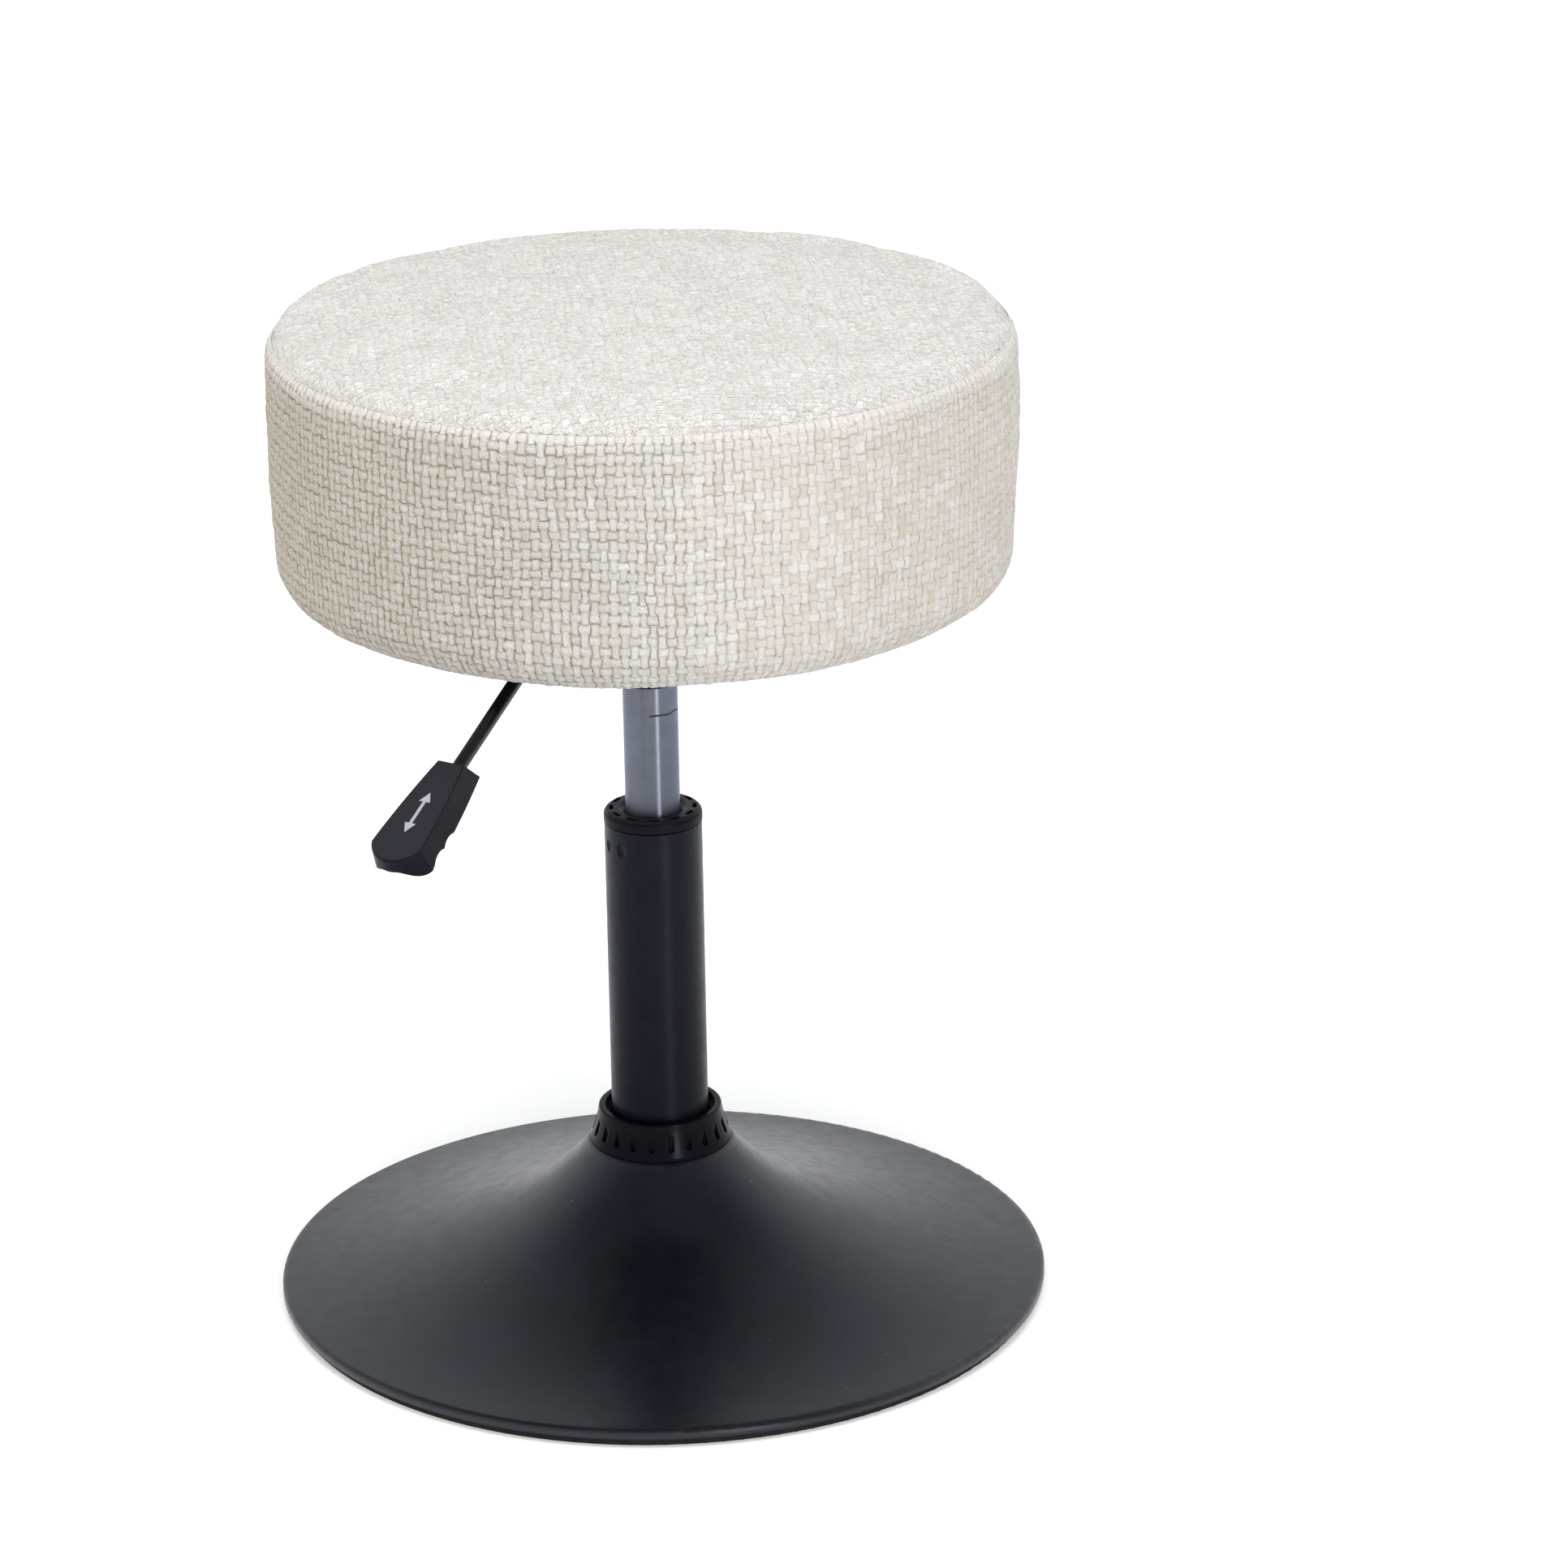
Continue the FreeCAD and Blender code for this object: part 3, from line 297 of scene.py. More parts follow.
def chenille(name, dome, tuft, flecks, shaded, darkest):
    """Plush yarn: pale nubs, shaded gaps, tufts that lie along each yarn, and a soft sheen."""
    mat, tree, shader = new_material(name, {
        "Roughness": 0.92, "Specular IOR Level": 0.2, "Sheen Weight": 0.2, "Sheen Roughness": 0.45,
        "Sheen Tint": (1, 0.98, 0.94, 1),
    })

    def attribute(key):
        return add(tree, "ShaderNodeAttribute", attribute_name=key)

    def moved(operation, source, number=(0, 0, 0)):
        return add(tree, "ShaderNodeVectorMath", operation=operation, links={0: source},
                   values={1: number}).outputs[0]

    def maths(operation, first, second):
        node = add(tree, "ShaderNodeMath", operation=operation, links={0: first})
        if isinstance(second, (int, float)):
            node.inputs[1].default_value = second
        else:
            tree.links.new(second, node.inputs[1])
        return node.outputs[0]

    cloth = attribute("cloth").outputs["Vector"]
    gap, tone, over = (attribute(key).outputs["Fac"] for key in ("gap", "tone", "over"))
    sway = add(tree, "ShaderNodeTexNoise", links={"Vector": cloth}, values={"Scale": 1.3, "Detail": 3.0})
    shift = moved("MULTIPLY", moved("SUBTRACT", sway.outputs["Color"], (0.5, 0.5, 0.5)), (0.4, 0.4, 0))
    loose = add(tree, "ShaderNodeVectorMath", operation="ADD", links={0: cloth, 1: shift}).outputs[0]
    waves = moved("ABSOLUTE", moved("SINE", moved("MULTIPLY", loose, (math.pi, math.pi, 0))))
    waves = add(tree, "ShaderNodeSeparateXYZ", links={0: waves})
    nub = maths("POWER", maths("MULTIPLY", waves.outputs["X"], waves.outputs["Y"]), 0.5)
    edge = ramp(tree, maths("MINIMUM", waves.outputs["X"], waves.outputs["Y"]), 0.55, 0.05)
    upright = noise(tree, moved("MULTIPLY", cloth, (7.0, 3.0, 0)), 1.0, 3.0, 0.62)
    level = noise(tree, moved("MULTIPLY", cloth, (3.0, 7.0, 0)), 1.0, 3.0, 0.62)
    fibre = add(tree, "ShaderNodeMix", data_type="FLOAT",
                links={"Factor": over, 2: level, 3: upright}).outputs[0]
    patchy = ramp(tree, noise(tree, cloth, 0.8, 3.0, 0.6), 0.34, 0.58, 0.35, 1.0)
    depth = maths("MULTIPLY", maths("MULTIPLY", edge, ramp(tree, gap, 0.05, 0.75)), patchy)
    # painted shade: a tone below zero turns the pale colour to a darker olive
    olive_shade = blend_colour(tree, ramp(tree, tone, 0.0, -0.6), (0.715, 0.668, 0.60), (0.66, 0.605, 0.475))
    pale = blend_colour(tree, tone, olive_shade, (0.905, 0.885, 0.86))
    # the third value of cloth sets how strongly the painted fleck shade and the fibre relief show
    rough = add(tree, "ShaderNodeSeparateXYZ", links={0: cloth}).outputs["Z"]
    shadow = maths("MULTIPLY", ramp(tree, fibre, *flecks), rough)
    lit = blend_colour(tree, shadow, pale, shaded)
    tree.links.new(blend_colour(tree, depth, lit, darkest), shader.inputs["Base Color"])
    hollow = maths("MULTIPLY", maths("SUBTRACT", nub, 1.0), ramp(tree, gap, 0.0, 0.5, 0.3, 1.0))
    soft = add_bump(tree, shader, hollow, dome)
    add_bump(tree, shader, maths("MULTIPLY", fibre, rough), tuft, soft)
    return mat


def printed(name, colour):
    """Ink, or a painted shadow line along an edge, with thin places."""
    mat, tree, shader = new_material(name, {"Roughness": 0.6})
    worn = noise(tree, place(tree), 0.5, 3.0)
    tree.links.new(blend_colour(tree, ramp(tree, worn, 0.25, 0.5), tuple(0.6 * c for c in colour), colour),
                   shader.inputs["Base Color"])
    return mat


def make_finishes():
    """Materials by slot, and one more for the top panel of the seat: a copy of the cover's, with its gaps
    painted paler for the light from above.
    """
    coats = {
        "base_paint": dict(colour=(0.0030, 0.0033, 0.0062), rough=(0.29, 0.36), grain=0.55, depth=0.02,
                           specks=0.25, gloss=0.52, round_edge=4.0),
        "tube_paint": dict(colour=(0.0026, 0.0028, 0.0072), rough=(0.34, 0.42), grain=0.8, depth=0.012,
                           gloss=0.17, round_edge=0.3, turned=0.7),
        "lever_paint": dict(colour=(0.004, 0.004, 0.005), rough=(0.14, 0.22), grain=1.6, depth=0.012),
        "collar_plastic": dict(colour=(0.003, 0.003, 0.006), rough=(0.20, 0.28), grain=2.2, depth=0.015,
                               gloss=0.07, round_edge=0.6),
        # its faces that look up are painted paler for the light from above
        "black_plastic": dict(colour=(0.006, 0.006, 0.010), rough=(0.34, 0.46), grain=0.45, depth=0.03,
                              gloss=0.08, round_edge=1.0, painted_top_light=(0.025, 0.025, 0.032)),
        "bright_steel": dict(colour=(0.14, 0.152, 0.186), rough=(0.31, 0.36), grain=0.5, depth=0.02,
                             metallic=1.0, stretch=(30, 30, 0.4), tone=0.08, turned=0.95),
        "plain_steel": dict(colour=(0.36, 0.36, 0.38), rough=(0.32, 0.45), grain=0.5, depth=0.01,
                            metallic=1.0, stretch=(8, 8, 0.5), tone=0.12),
        "zinc_steel": dict(colour=(0.55, 0.56, 0.56), rough=(0.28, 0.45), grain=1.1, depth=0.01,
                           metallic=1.0, tone=0.15),
        "brass_valve": dict(colour=(0.62, 0.45, 0.17), rough=(0.25, 0.38), grain=0.6, depth=0.008,
                            metallic=1.0, stretch=(6, 6, 0.6), tone=0.12),
        "black_rubber": dict(colour=(0.007, 0.007, 0.008), rough=(0.62, 0.78), grain=0.7, depth=0.05,
                             gloss=0.3),
    }
    finishes = {name: coated(name, **look) for name, look in coats.items()}
    finishes["board"] = plywood("board")
    finishes["foam"] = felt("foam", (0.70, 0.64, 0.46), 0.9, 0.3)
    finishes["dust_cloth"] = felt("dust_cloth", (0.012, 0.012, 0.013), 0.45, 0.12)
    finishes["upholstery"] = chenille("upholstery", 0.9, 2.1, (0.56, 0.36), (0.74, 0.695, 0.605),
                                      (0.43, 0.37, 0.25))
    # the top panel's copy of the chenille, its gaps painted paler for the light from above
    finishes["upholstery_top"] = chenille("upholstery_top", 0.3, 2.4, (0.49, 0.36), (0.50, 0.47, 0.41),
                                          (0.66, 0.63, 0.57))
    return finishes


def finish_solids(finishes):
    """Give each solid the material of its slot."""
    slots = {part["node"]: part["material_slot"] for part in frame["record"]["subparts"]}
    for node, solid in frame["nodes"].items():
        solid.data.materials.clear()
        solid.data.materials.append(finishes[slots[node]])


# seat cover

def cover_outline():
    """Distance along the cover, radius and height, closely spaced from the top's middle to the hem."""
    turns = np.radians(np.linspace(90, 0, 60))
    edge_r, edge_z = SEAT_RADIUS - TOP_EDGE, SHOULDER - TOP_EDGE
    foot_r, foot_z = FOOT_RADIUS - BOTTOM_EDGE, SEAT_BOTTOM + BOTTOM_EDGE
    flat = np.linspace(0, edge_r, 80)
    rise = CROWN_TOP - SHOULDER
    ball = (edge_r ** 2 / rise + rise) / 2
    side = np.linspace(0, 1, 60)
    chord = math.hypot(SEAT_RADIUS - FOOT_RADIUS, edge_z - foot_z)
    belly = chord ** 2 / (8 * SIDE_BEND)
    r = [flat, edge_r + TOP_EDGE * np.cos(turns),
         SEAT_RADIUS + (FOOT_RADIUS - SEAT_RADIUS) * side + belly * (1 - (2 * side - 1) ** 2),
         foot_r + BOTTOM_EDGE * np.sin(turns), np.linspace(foot_r, HEM_RADIUS, 30)]
    z = [CROWN_TOP - ball + np.sqrt(ball ** 2 - flat ** 2), edge_z + TOP_EDGE * np.sin(turns),
         edge_z + (foot_z - edge_z) * side, foot_z - BOTTOM_EDGE * np.cos(turns), np.full(30, SEAT_BOTTOM)]
    r, z = np.concatenate(r), np.concatenate(z)
    step = np.hypot(np.diff(r), np.diff(z))
    keep = np.concatenate([[True], step > 1e-6])
    r, z = r[keep], z[keep]
    run = np.concatenate([[0], np.cumsum(np.hypot(np.diff(r), np.diff(z)))])
    return run, r, z


RUN, RUN_R, RUN_Z = cover_outline()
SEAM_RUN = float(np.interp(SHOULDER - TOP_EDGE + TOP_EDGE * math.sin(math.radians(SEAM_ANGLE)),
                           RUN_Z[::-1], RUN[::-1]))
HEM_RUN = float(RUN[-1] - (FOOT_RADIUS - BOTTOM_EDGE - HEM_RADIUS))


def outline_at(run):
    """Radius, height and outward direction at a distance along the cover."""
    r, z = np.interp(run, RUN, RUN_R), np.interp(run, RUN, RUN_Z)
    h = 0.6
    dr = np.interp(run + h, RUN, RUN_R) - np.interp(run - h, RUN, RUN_R)
    dz = np.interp(run + h, RUN, RUN_Z) - np.interp(run - h, RUN, RUN_Z)
    length = np.maximum(np.hypot(dr, dz), 1e-9)
    return r, z, -dz / length, dr / length


def wander(shape, reach, seed):
    """Smooth random field that joins up at its edges, with a spread of 1."""
    field = np.random.default_rng(seed).standard_normal(shape)
    rates = np.fft.fftfreq(shape[0])[:, None] ** 2 + np.fft.fftfreq(shape[1])[None, :] ** 2
    field = np.fft.ifft2(np.fft.fft2(field) * np.exp(-2 * (math.pi * reach) ** 2 * rates)).real
    return field / field.std()


def mesh_object(name, points, faces):
    """New piece from points in metres and faces."""
    mesh = bpy.data.meshes.new(name)
    mesh.from_pydata(points.tolist() if hasattr(points, "tolist") else points, [], faces)
    mesh.validate()
    obj = bpy.data.objects.new(name, mesh)
    bpy.context.scene.collection.objects.link(obj)
    return obj


def smooth(obj):
    """Shade the faces of a piece as one round surface."""
    obj.data.polygons.foreach_set("use_smooth", [True] * len(obj.data.polygons))


RINGS = 72
SPOKES = 128
SWELL_STEPS = 20


def let_swell(obj):
    """Push the cover out from inside for a short time, and give its points in millimetres."""
    cloth = obj.modifiers.new("cloth", "CLOTH")
    settings = cloth.settings
    settings.quality = 6
    settings.mass = 0.4
    settings.tension_stiffness = settings.compression_stiffness = 30
    settings.shear_stiffness = 12
    settings.bending_stiffness = 4
    settings.use_pressure = True
    settings.uniform_pressure_force = 4
    settings.vertex_group_mass = "held"
    settings.effector_weights.gravity = 0
    cloth.collision_settings.use_collision = False
    cloth.point_cache.frame_start, cloth.point_cache.frame_end = 1, SWELL_STEPS
    scene = bpy.context.scene
    for step in range(1, SWELL_STEPS + 1):
        scene.frame_set(step)
    done = obj.evaluated_get(bpy.context.evaluated_depsgraph_get())
    spots = np.empty(len(obj.data.vertices) * 3)
    done.data.vertices.foreach_get("co", spots)
    scene.frame_set(1)
    bpy.data.objects.remove(obj)
    return spots.reshape(-1, 3) / MM


def swollen_offsets():
    """Radial and upright offsets of the cover, in millimetres, after the stuffing has pushed it out."""
    runs = np.linspace(0, RUN[-1], RINGS)
    turns = np.arange(SPOKES) * 2 * math.pi / SPOKES
    r, z, out_r, out_z = outline_at(runs)
    free = np.clip((HEM_RUN - 8 - runs) / 18, 0, 1)[:, None]
    near_seam = np.exp(-((runs - SEAM_RUN) / 6) ** 2)[:, None]
    slack = -2.2 * free - 0.5 * near_seam + 0.8 * free * wander((RINGS, SPOKES), 3.5, 11)
    pull = 0.9 * np.exp(-((runs - HEM_RUN + 14) / 12) ** 2)[:, None] * wander((1, SPOKES), 1.5, 12)
    slack = slack - np.abs(pull)
    slack[0] = slack[0].mean()
    ring_r = r[:, None] + out_r[:, None] * slack
    ring_z = z[:, None] + out_z[:, None] * slack
    nominal = np.stack([np.broadcast_to(r[:, None], slack.shape), np.broadcast_to(z[:, None], slack.shape)])
    start = np.stack([ring_r, ring_z])
    points = [(0, 0, ring_z[0, 0])]
    for i in range(1, RINGS):
        points += zip(ring_r[i] * np.cos(turns), ring_r[i] * np.sin(turns), ring_z[i])
    points.append((0, 0, ring_z[-1, 0]))
    last = len(points) - 1
    faces = []
    for k in range(SPOKES):
        n = (k + 1) % SPOKES
        faces.append((0, 1 + k, 1 + n))
        for i in range(RINGS - 2):
            a, b = 1 + i * SPOKES, 1 + (i + 1) * SPOKES
            faces.append((a + k, b + k, b + n, a + n))
        a = 1 + (RINGS - 2) * SPOKES
        faces.append((last, a + n, a + k))
    obj = mesh_object("swelling_cover", np.array(points) * MM, faces)
    held = obj.vertex_groups.new(name="held")
    for i in range(1, RINGS):
        weight = max(1.0 if runs[i] > HEM_RUN - 6 else 0.0, 0.75 * float(near_seam[i, 0]))
        if weight > 0.05:
            held.add(list(range(1 + (i - 1) * SPOKES, 1 + i * SPOKES)), weight, "REPLACE")
    held.add([last], 1.0, "REPLACE")
    spots = let_swell(obj)
    rings = spots[1:-1].reshape(RINGS - 1, SPOKES, 3)
    end = start.copy()
    end[0, 1:] = rings[:, :, 0] * np.cos(turns) + rings[:, :, 1] * np.sin(turns)
    end[1, 1:] = rings[:, :, 2]
    end[1, 0] = spots[0, 2]
    move = end - start
    far = np.hypot(*move)
    move *= np.minimum(1, 4.0 / np.maximum(far, 1e-9))
    offset = start + move - nominal
    level = offset.mean(axis=2, keepdims=True)
    return np.clip(level, -0.6, 1.0) + np.clip(0.5 * (offset - level), -0.6, 0.8)


def sample(field, run, turn):
    """Value of a ring and spoke field between its points."""
    i = np.clip(run / RUN[-1] * (RINGS - 1), 0, RINGS - 1.001)
    k = (turn / (2 * math.pi) * SPOKES) % SPOKES
    i0, k0 = i.astype(int), k.astype(int) % SPOKES
    down, beside = i - i0, k - np.floor(k)
    k1 = (k0 + 1) % SPOKES
    upper = field[i0, k0] * (1 - beside) + field[i0, k1] * beside
    lower = field[i0 + 1, k0] * (1 - beside) + field[i0 + 1, k1] * beside
    return upper * (1 - down) + lower * down


def cover_points(run, turn, relief, offsets):
    """Points of the swollen cover, in metres, lifted by a relief in millimetres."""
    r, z, out_r, out_z = outline_at(run)
    r = r + sample(offsets[0], run, turn) + out_r * relief
    z = z + sample(offsets[1], run, turn) + out_z * relief
    return np.stack([r * np.cos(turn), r * np.sin(turn), z], axis=-1) * MM


def woven(cols, rows, seed, weak, joined):
    """Height, gap depth, tone and yarn direction of a weave, three points to a yarn each way."""
    rng = np.random.default_rng(seed)
    nub = 0.80 + 0.20 * rng.random((rows + 1, cols)) + 0.25 * (rng.random((rows + 1, cols)) > 0.94)
    tone = np.clip(0.5 + 0.22 * rng.standard_normal((rows + 1, cols)), 0, 1)
    even = (np.add.outer(np.arange(rows + 1), np.arange(cols)) % 2).astype(float)
    line_u = np.where(rng.random(cols) < 0.4, 0.9, 0.35 + 0.35 * rng.random(cols))
    line_v = np.where(np.arange(rows + 1) % 2 == 0, 0.9, 0.55) * (0.7 + 0.3 * rng.random(rows + 1))
    gap_u = line_u[None, :] * (0.25 + 0.55 * rng.random((rows + 1, cols)))
    gap_v = line_v[:, None] * (0.05 + 0.7 * rng.random((rows + 1, cols)))
    hole = 0.5 + 0.5 * rng.random((rows + 1, cols))
    b, a = np.meshgrid(np.arange(rows * 3 + 1), np.arange(cols * 3 + (0 if joined else 1)), indexing="ij")
    i, p, j, q = (a // 3) % cols, a % 3, b // 3, b % 3
    before_i = (i - 1) % cols
    before_j = np.maximum(j - 1, 0)
    beside = np.where(p == 0, (nub[j, i] + nub[j, before_i]) / 2, nub[j, i])
    above = np.where(p == 0, (nub[before_j, i] + nub[before_j, before_i]) / 2, nub[before_j, i])
    height = np.where(q == 0, (beside + above) / 2, beside)
    gap = np.maximum(np.where(p == 0, gap_u[j, i], 0), np.where(q == 0, gap_v[j, i], 0))
    gap = np.where((p == 0) & (q == 0), hole[j, i], gap) * weak
    return height * (1 - 0.95 * gap), gap, tone[j, i], even[j, i], a, b


def tell_cloth(obj, cloth, rough, gap, tone, over):
    """Write the place in the weave, the strength of the painted fleck shade and fibre relief, and the gap,
    tone and direction of each yarn on the mesh; the tone also carries painted light and shade.
    """
    mesh = obj.data
    spots = np.zeros((len(mesh.vertices), 3), np.float32)
    spots[:, :2] = cloth
    spots[:, 2] = rough
    mesh.attributes.new("cloth", "FLOAT_VECTOR", "POINT").data.foreach_set("vector", spots.ravel())
    for key, field in (("gap", gap), ("tone", tone), ("over", over)):
        data = np.ascontiguousarray(field, np.float32)
        mesh.attributes.new(key, "FLOAT", "POINT").data.foreach_set("value", data)


def spread(share, across, over):
    """Keep nubs full and gaps narrow, and let each yarn that lies on top reach over the gaps at its ends."""
    full = np.where(share % 3 == 1, -0.07, np.where(share % 3 == 2, 0.07, 0.0))
    return full + np.where((share % 3 == 0) & (across % 3 != 0), 0.08 * (1 - 2 * over), 0.0)


def make_band(offsets):
    """Side of the seat from the seam down to the hem, woven all round."""
    cols, rows = BAND_YARNS, BAND_ROWS
    shape = (rows * 3 + 1, cols * 3)
    turn_step = 2 * math.pi / cols
    run_step = (HEM_RUN - SEAM_RUN) / rows
    facing = np.arange(cols * 3) / (cols * 3) * 2 * math.pi
    # painted light round the side: on the right, where the light falls, the weave is flatter and its gaps
    # and flecks carry less painted shade; at the front left they are deepest; this also changes the relief
    light_flat = np.exp(-((np.degrees(facing) - LIGHT_FLAT_AT + 180) % 360 - 180) ** 2 / LIGHT_FLAT_REACH ** 2)
    gap_shade_round = 0.8 + 0.2 * np.cos(facing - math.radians(SHADE_DEEP_AT)) - 0.65 * light_flat
    weave_shade = np.clip(gap_shade_round[None, :] + 0.08 * wander(shape, 30, 21), 0.4, 1)
    height, gap, tone, over, a, b = woven(cols, rows, 22, weave_shade, True)
    drift_u, drift_v = 0.12 * wander(shape, 7, 23), 0.14 * wander(shape, 9, 24)
    loose = 0.05 * wander(shape, 0.8, 25)
    turn = (a / 3 + spread(a, b, 1 - over) + drift_u + loose) * turn_step
    fade = np.clip(np.minimum(b, rows * 3 - b) / 5, 0, 1)
    run = SEAM_RUN + (b / 3 + (spread(b, a, over) + drift_v) * fade) * run_step
    seam = np.exp(-((run - SEAM_RUN) / 2.2) ** 2)
    low = np.clip((HEM_RUN - run) / 6, 0, 1)
    rolled = np.exp(-((run - SEAM_RUN) / 9) ** 2)
    relief = NUB * (height - 0.6) * (1 - seam) * low + 0.25 * wander(shape, 14, 26) * fade - 0.5 * seam
    points = cover_points(run, turn, relief, offsets).reshape(-1, 3)
    ids = np.arange(points.shape[0]).reshape(shape)
    right = np.roll(ids, -1, axis=1)
    faces = np.stack([ids[:-1], ids[1:], right[1:], right[:-1]], axis=-1).reshape(-1, 4)
    obj = mesh_object("seat_band", points, faces.tolist())
    cloth = np.stack([a / 3, b / 3], axis=-1).reshape(-1, 2)
    # painted shade in the colour: the tone is lowered towards the left, down to an olive shade, and a little
    # on the right
    shaded = 1.5 * np.clip(np.cos(facing - math.radians(SHADE_OLIVE_AT)), 0, 1) ** 2 + 0.9 * light_flat
    tone = np.clip(tone + 0.4 - shaded[None, :], -0.6, 1)
    tone += (0.6 - tone) * rolled
    rough = weave_shade + (0.7 - weave_shade) * rolled
    tell_cloth(obj, cloth, rough.ravel(), (gap * (1 - 0.5 * seam)).ravel(), tone.ravel(), over.ravel())
    return obj


def make_top(offsets):
    """Round top panel, its weave laid straight across and cut off at the seam."""
    half = [int(math.ceil(SEAM_RUN / p)) + 1 for p in TOP_PITCH]
    cols, rows = 2 * half[0], 2 * half[1]
    height, gap, tone, over, a, b = woven(cols, rows, 31, 0.45, False)
    shape = a.shape
    u = a / 3 + spread(a, b, 1 - over) + 0.2 * wander(shape, 7, 32) + 0.14 * wander(shape, 0.8, 35)
    v = b / 3 + spread(b, a, over) + 0.2 * wander(shape, 7, 33)
    u, v = (u - half[0]) * TOP_PITCH[0], (v - half[1]) * TOP_PITCH[1]
    far = np.hypot(u, v)
    run = np.minimum(far, SEAM_RUN)
    turn = np.arctan2(v, u) + TOP_TURN
    seam = np.exp(-((run - SEAM_RUN) / 2.2) ** 2)
    relief = 0.6 * NUB * (height - 0.6) * (1 - seam) + 0.25 * wander(shape, 14, 34) - 0.5 * seam
    points = cover_points(run, turn, relief, offsets).reshape(-1, 3)
    ids = np.arange(points.shape[0]).reshape(shape)
    faces = np.stack([ids[:-1, :-1], ids[:-1, 1:], ids[1:, 1:], ids[1:, :-1]], axis=-1).reshape(-1, 4)
    faces = faces[(far.reshape(-1)[faces] < SEAM_RUN).any(axis=1)]
    used, faces = np.unique(faces, return_inverse=True)
    obj = mesh_object("seat_top", points[used], faces.reshape(-1, 4).tolist())
    cloth = np.stack([a / 3, b / 3], axis=-1).reshape(-1, 2)[used]
    # the tone is raised to paint the top lighter for the light from above
    gap, tone = gap * (1 - seam), tone + 0.3
    tell_cloth(obj, cloth, 0.7, *(field.ravel()[used] for field in (gap, tone, over)))
    return obj


def make_hem(offsets):
    """Edge of the cover, gathered under the seat and folded in against the board."""
    spokes, rows = 816, 12
    turn = np.arange(spokes) * 2 * math.pi / spokes
    runs = np.linspace(HEM_RUN, RUN[-1], rows)
    run, turns = np.meshgrid(runs, turn, indexing="ij")
    inward = (run - HEM_RUN) / (RUN[-1] - HEM_RUN)
    pleats = wander((1, spokes), 5, 41) + 0.5 * wander((1, spokes), 2, 42)
    relief = np.sin(math.pi * inward) * np.abs(pleats) * 0.7 + inward * 0.15 * wander((rows, spokes), 2, 43)
    points = cover_points(run, turns, relief, offsets)
    tuck = points[-1].copy()
    tuck[:, 2] = (SEAT_BOTTOM + 2.6) * MM
    points = np.concatenate([points, tuck[None]]).reshape(-1, 3)
    ids = np.arange(points.shape[0]).reshape(rows + 1, spokes)
    right = np.roll(ids, -1, axis=1)
    faces = np.stack([ids[:-1], ids[1:], right[1:], right[:-1]], axis=-1).reshape(-1, 4)
    obj = mesh_object("seat_hem", points, faces.tolist())
    runs_all = np.concatenate([run, run[-1:] + 3])
    turns_all = np.concatenate([turns, turns[-1:]])
    cloth = np.stack([turns_all * BAND_YARNS / (2 * math.pi), runs_all / HEM_PITCH], axis=-1).reshape(-1, 2)
    flat = np.full(len(points), 0.5)
    gap = np.clip(0.35 + 0.2 * wander((rows + 1, spokes), 1.0, 44), 0, 0.8).ravel()
    tell_cloth(obj, cloth, 0.6, gap, flat, cloth[:, 0] // 1 % 2)
    return obj


def make_thread(offsets):
    """Stitches that lie in the seam between top and band."""
    rng = np.random.default_rng(51)
    count, sides, knots = 260, 6, 5
    points, faces = [], []
    for k in range(count):
        middle = (k + 0.5 + 0.08 * rng.standard_normal()) * 2 * math.pi / count
        length = (0.72 + 0.06 * rng.standard_normal()) * 2 * math.pi / count
        slant = 0.25 * rng.standard_normal()
        start = len(points)
        for m in range(knots):
            share = m / (knots - 1) - 0.5
            turn = middle + share * length
            bow = 0.38 * math.cos(share * math.pi * 0.95)
            run = SEAM_RUN + slant * share
            spot = cover_points(np.array([run]), np.array([turn]), np.array([bow - 0.6]), offsets)[0]
            out = Vector((math.cos(turn), math.sin(turn), 0.7)).normalized()
            along = Vector((-math.sin(turn), math.cos(turn), 0))
            across = along.cross(out)
            thick = 0.30 * MM * (0.55 + 0.45 * math.cos(share * math.pi * 0.9))
            for n in range(sides):
                angle = 2 * math.pi * n / sides
                points.append(Vector(spot) + (out * math.cos(angle) + across * math.sin(angle)) * thick)
        for m in range(knots - 1):
            for n in range(sides):
                a, b = start + m * sides, start + (m + 1) * sides
                faces.append((a + n, a + (n + 1) % sides, b + (n + 1) % sides, b + n))
        faces.append(tuple(start + n for n in range(sides))[::-1])
        faces.append(tuple(start + (knots - 1) * sides + n for n in range(sides)))
    return mesh_object("seam_thread", [tuple(p) for p in points], faces)


def make_staples():
    """Flat wire staples that hold the hem to the board."""
    rng = np.random.default_rng(61)
    count = 64
    points, faces = [], []
    for k in range(count):
        turn = (k + 0.25 * rng.standard_normal()) * 2 * math.pi / count
        radius = 148 + 1.2 * rng.standard_normal()
        lean = 0.12 * rng.standard_normal()
        along = Vector((-math.sin(turn + lean), math.cos(turn + lean), 0))
        across = Vector((math.cos(turn + lean), math.sin(turn + lean), 0))
        middle = Vector((radius * math.cos(turn), radius * math.sin(turn), 0))
        start = len(points)
        for reach, sink in ((-5.2, 1.2), (-5.0, 0.25), (-4.4, 0), (4.4, 0), (5.0, 0.25), (5.2, 1.2)):
            for side, lift in ((-0.6, 0.5), (-0.45, 0), (0.45, 0), (0.6, 0.5)):
                spot = middle + along * reach + across * side
                points.append((spot.x * MM, spot.y * MM, (SEAT_BOTTOM - 0.95 + sink + lift) * MM))
        for m in range(5):
            for n in range(3):
                a, b = start + m * 4 + n, start + (m + 1) * 4 + n
                faces.append((a, b, b + 1, a + 1))
    return mesh_object("hem_staples", points, faces)


# small pieces

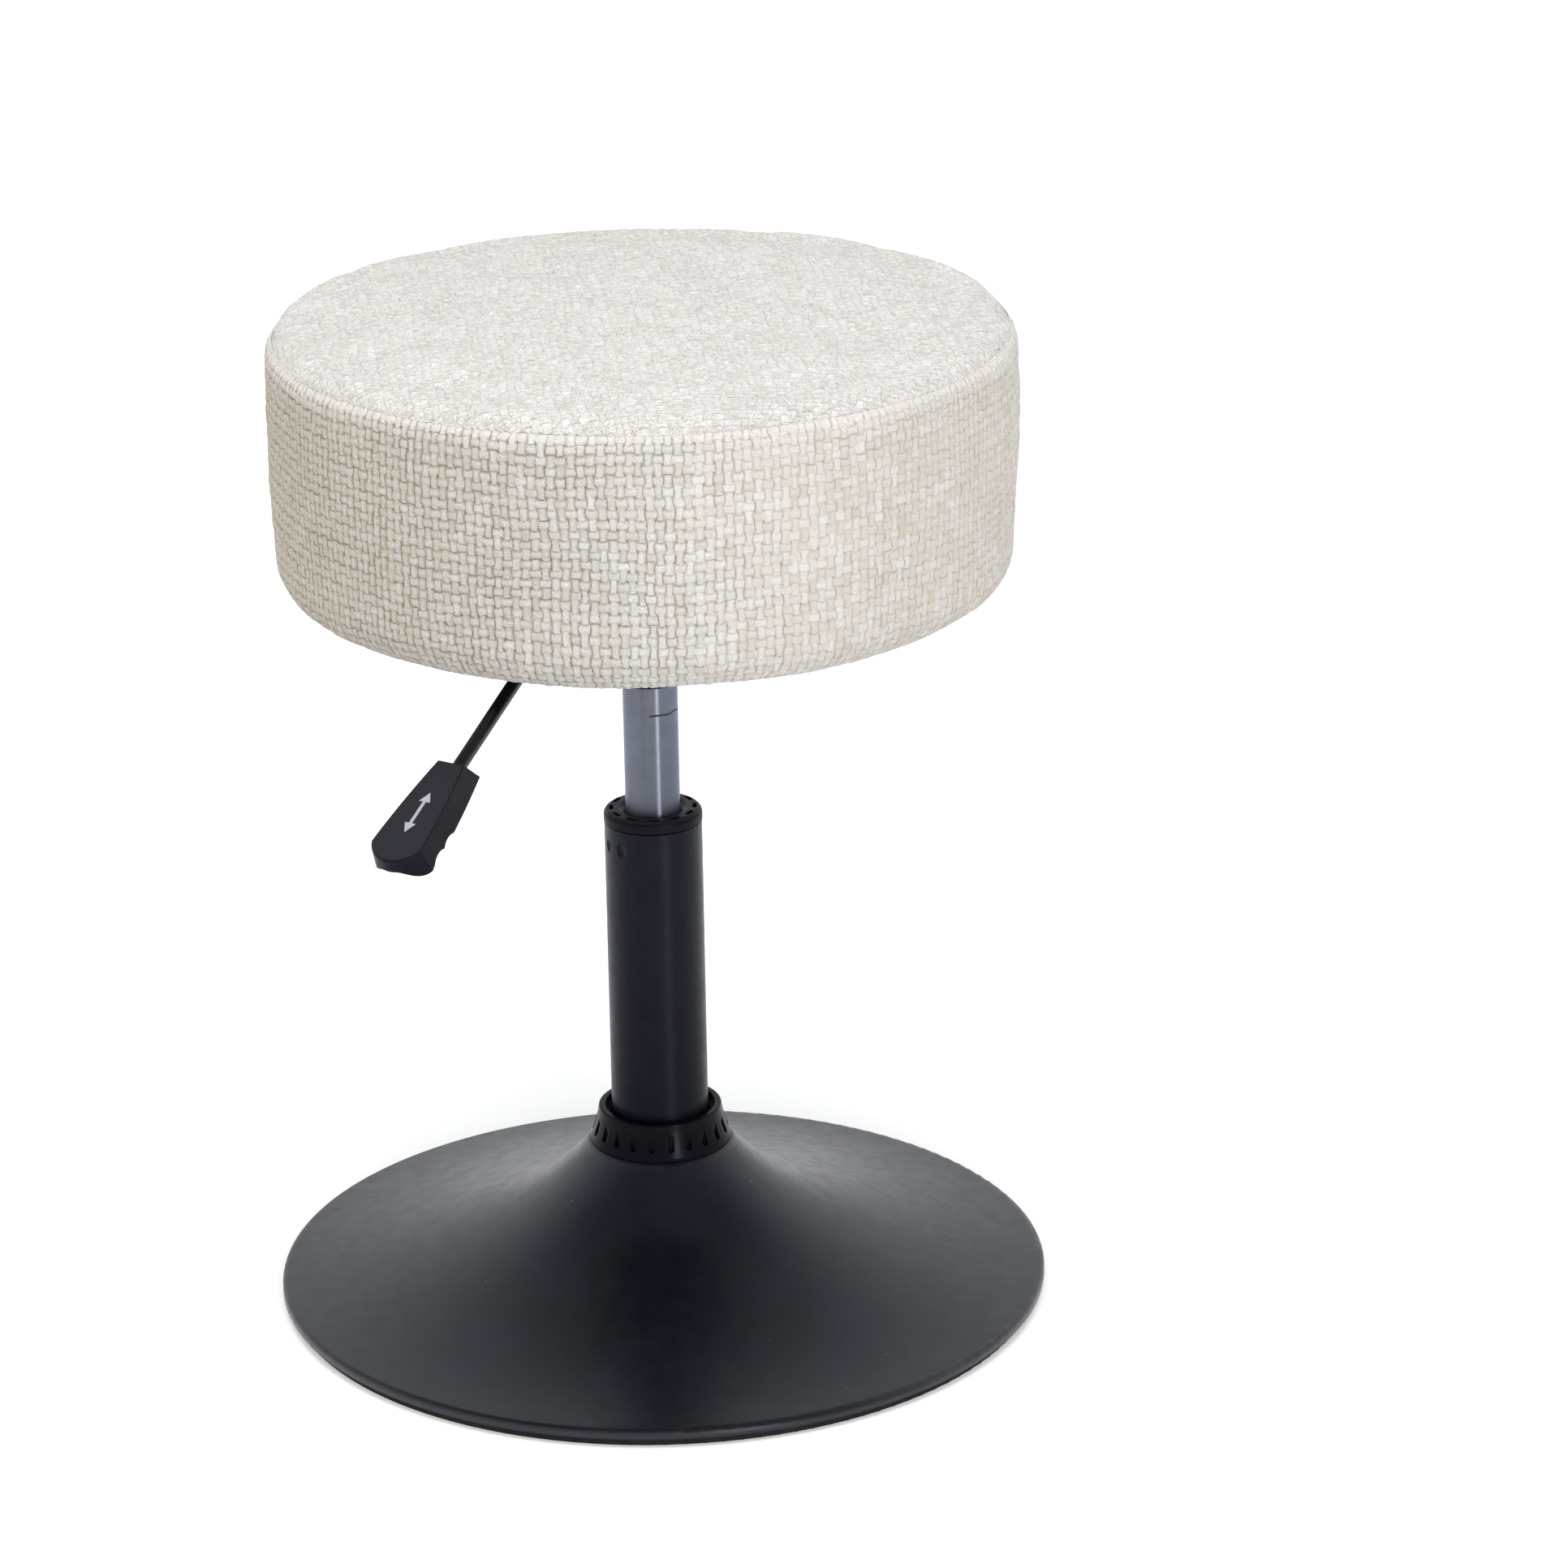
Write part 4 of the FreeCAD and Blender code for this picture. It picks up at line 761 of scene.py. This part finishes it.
def make_film():
    """Thin protective film left on the upper cylinder, torn lower on one side, with a painted shadow line
    along its cut edge on the other.
    """
    spokes = 120
    turn = np.arange(spokes) * 2 * math.pi / spokes
    kept = np.clip((np.cos(turn - math.radians(313)) - 0.55) / 0.12, 0, 1)
    cut = FILM_CUT + 6.0 * kept + 0.25 * wander((1, spokes), 2, 71)[0]
    shadow_line = kept > 0.9
    heights = (cut, cut + 1.1, cut + 6, np.full(spokes, FILM_TOP))
    rows = list(zip(heights, (14.006, FILM_RADIUS, FILM_RADIUS, FILM_RADIUS)))
    points = []
    for z, radius in rows:
        points += zip(radius * np.cos(turn) * MM, radius * np.sin(turn) * MM, z * MM)
    faces = []
    for i in range(len(rows) - 1):
        for k in range(spokes):
            n = (k + 1) % spokes
            faces.append((i * spokes + k, i * spokes + n, (i + 1) * spokes + n, (i + 1) * spokes + k))
    obj = mesh_object("cylinder_film", points, faces)
    # painted shadow: the first row is dark where the film stays high
    for k in np.flatnonzero(shadow_line):
        obj.data.polygons[k].material_index = 1
    return obj


def handle_frame():
    """From the handle's own axes, in metres, to the stool's."""
    reach, height = HANDLE_START
    spot = Vector((reach * math.cos(LEVER_HEADING), reach * math.sin(LEVER_HEADING), height)) * MM
    turned = Matrix.Rotation(LEVER_HEADING, 4, "Z") @ Matrix.Rotation(LEVER_SLOPE, 4, "Y")
    return Matrix.Translation(spot) @ turned


def make_mark():
    """Plain two-headed arrow printed on the handle."""
    middle = 33
    head = [(40, 0.9), (40, 3.2), (46, 0)]
    outline = [(2 * middle - x, y) for x, y in reversed(head)] + head
    outline += [(x, -y) for x, y in reversed(head[:-1])]
    outline += [(2 * middle - x, -y) for x, y in head[:-1]]
    place_it = handle_frame()
    points = [tuple(place_it @ (Vector((x, y, HANDLE_TOP + 0.04)) * MM)) for x, y in outline]
    return mesh_object("handle_mark", points, [tuple(range(len(points)))])


def attach(obj, body, material, rounded=True):
    """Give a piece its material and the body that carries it."""
    obj.data.materials.append(material)
    if rounded:
        smooth(obj)
    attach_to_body(obj, body)


def build():
    """Camera, light and materials, then the cover and the small pieces."""
    make_camera()
    make_studio()
    finishes = make_finishes()
    finish_solids(finishes)
    offsets = swollen_offsets()
    for maker, node in ((make_top, "cover_top"), (make_band, "cover_band"), (make_hem, None)):
        piece = maker(offsets)
        look = "upholstery_top" if node == "cover_top" else "upholstery"
        attach(piece, "seat", finishes[look])
        if node:
            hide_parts(node)
    thread = coated("thread", (0.74, 0.71, 0.65), (0.6, 0.8), 0.3, 0.05)
    attach(make_thread(offsets), "seat", thread)
    attach(make_staples(), "seat", finishes["zinc_steel"])
    film = make_film()
    attach(film, "seat", finishes["bright_steel"])
    # dark material for the painted shadow line along the film's edge
    film.data.materials.append(printed("film_edge_shadow", (0.012, 0.012, 0.015)))
    attach(make_mark(), "lever", printed("pale_print", (0.42, 0.42, 0.50)), rounded=False)


build()
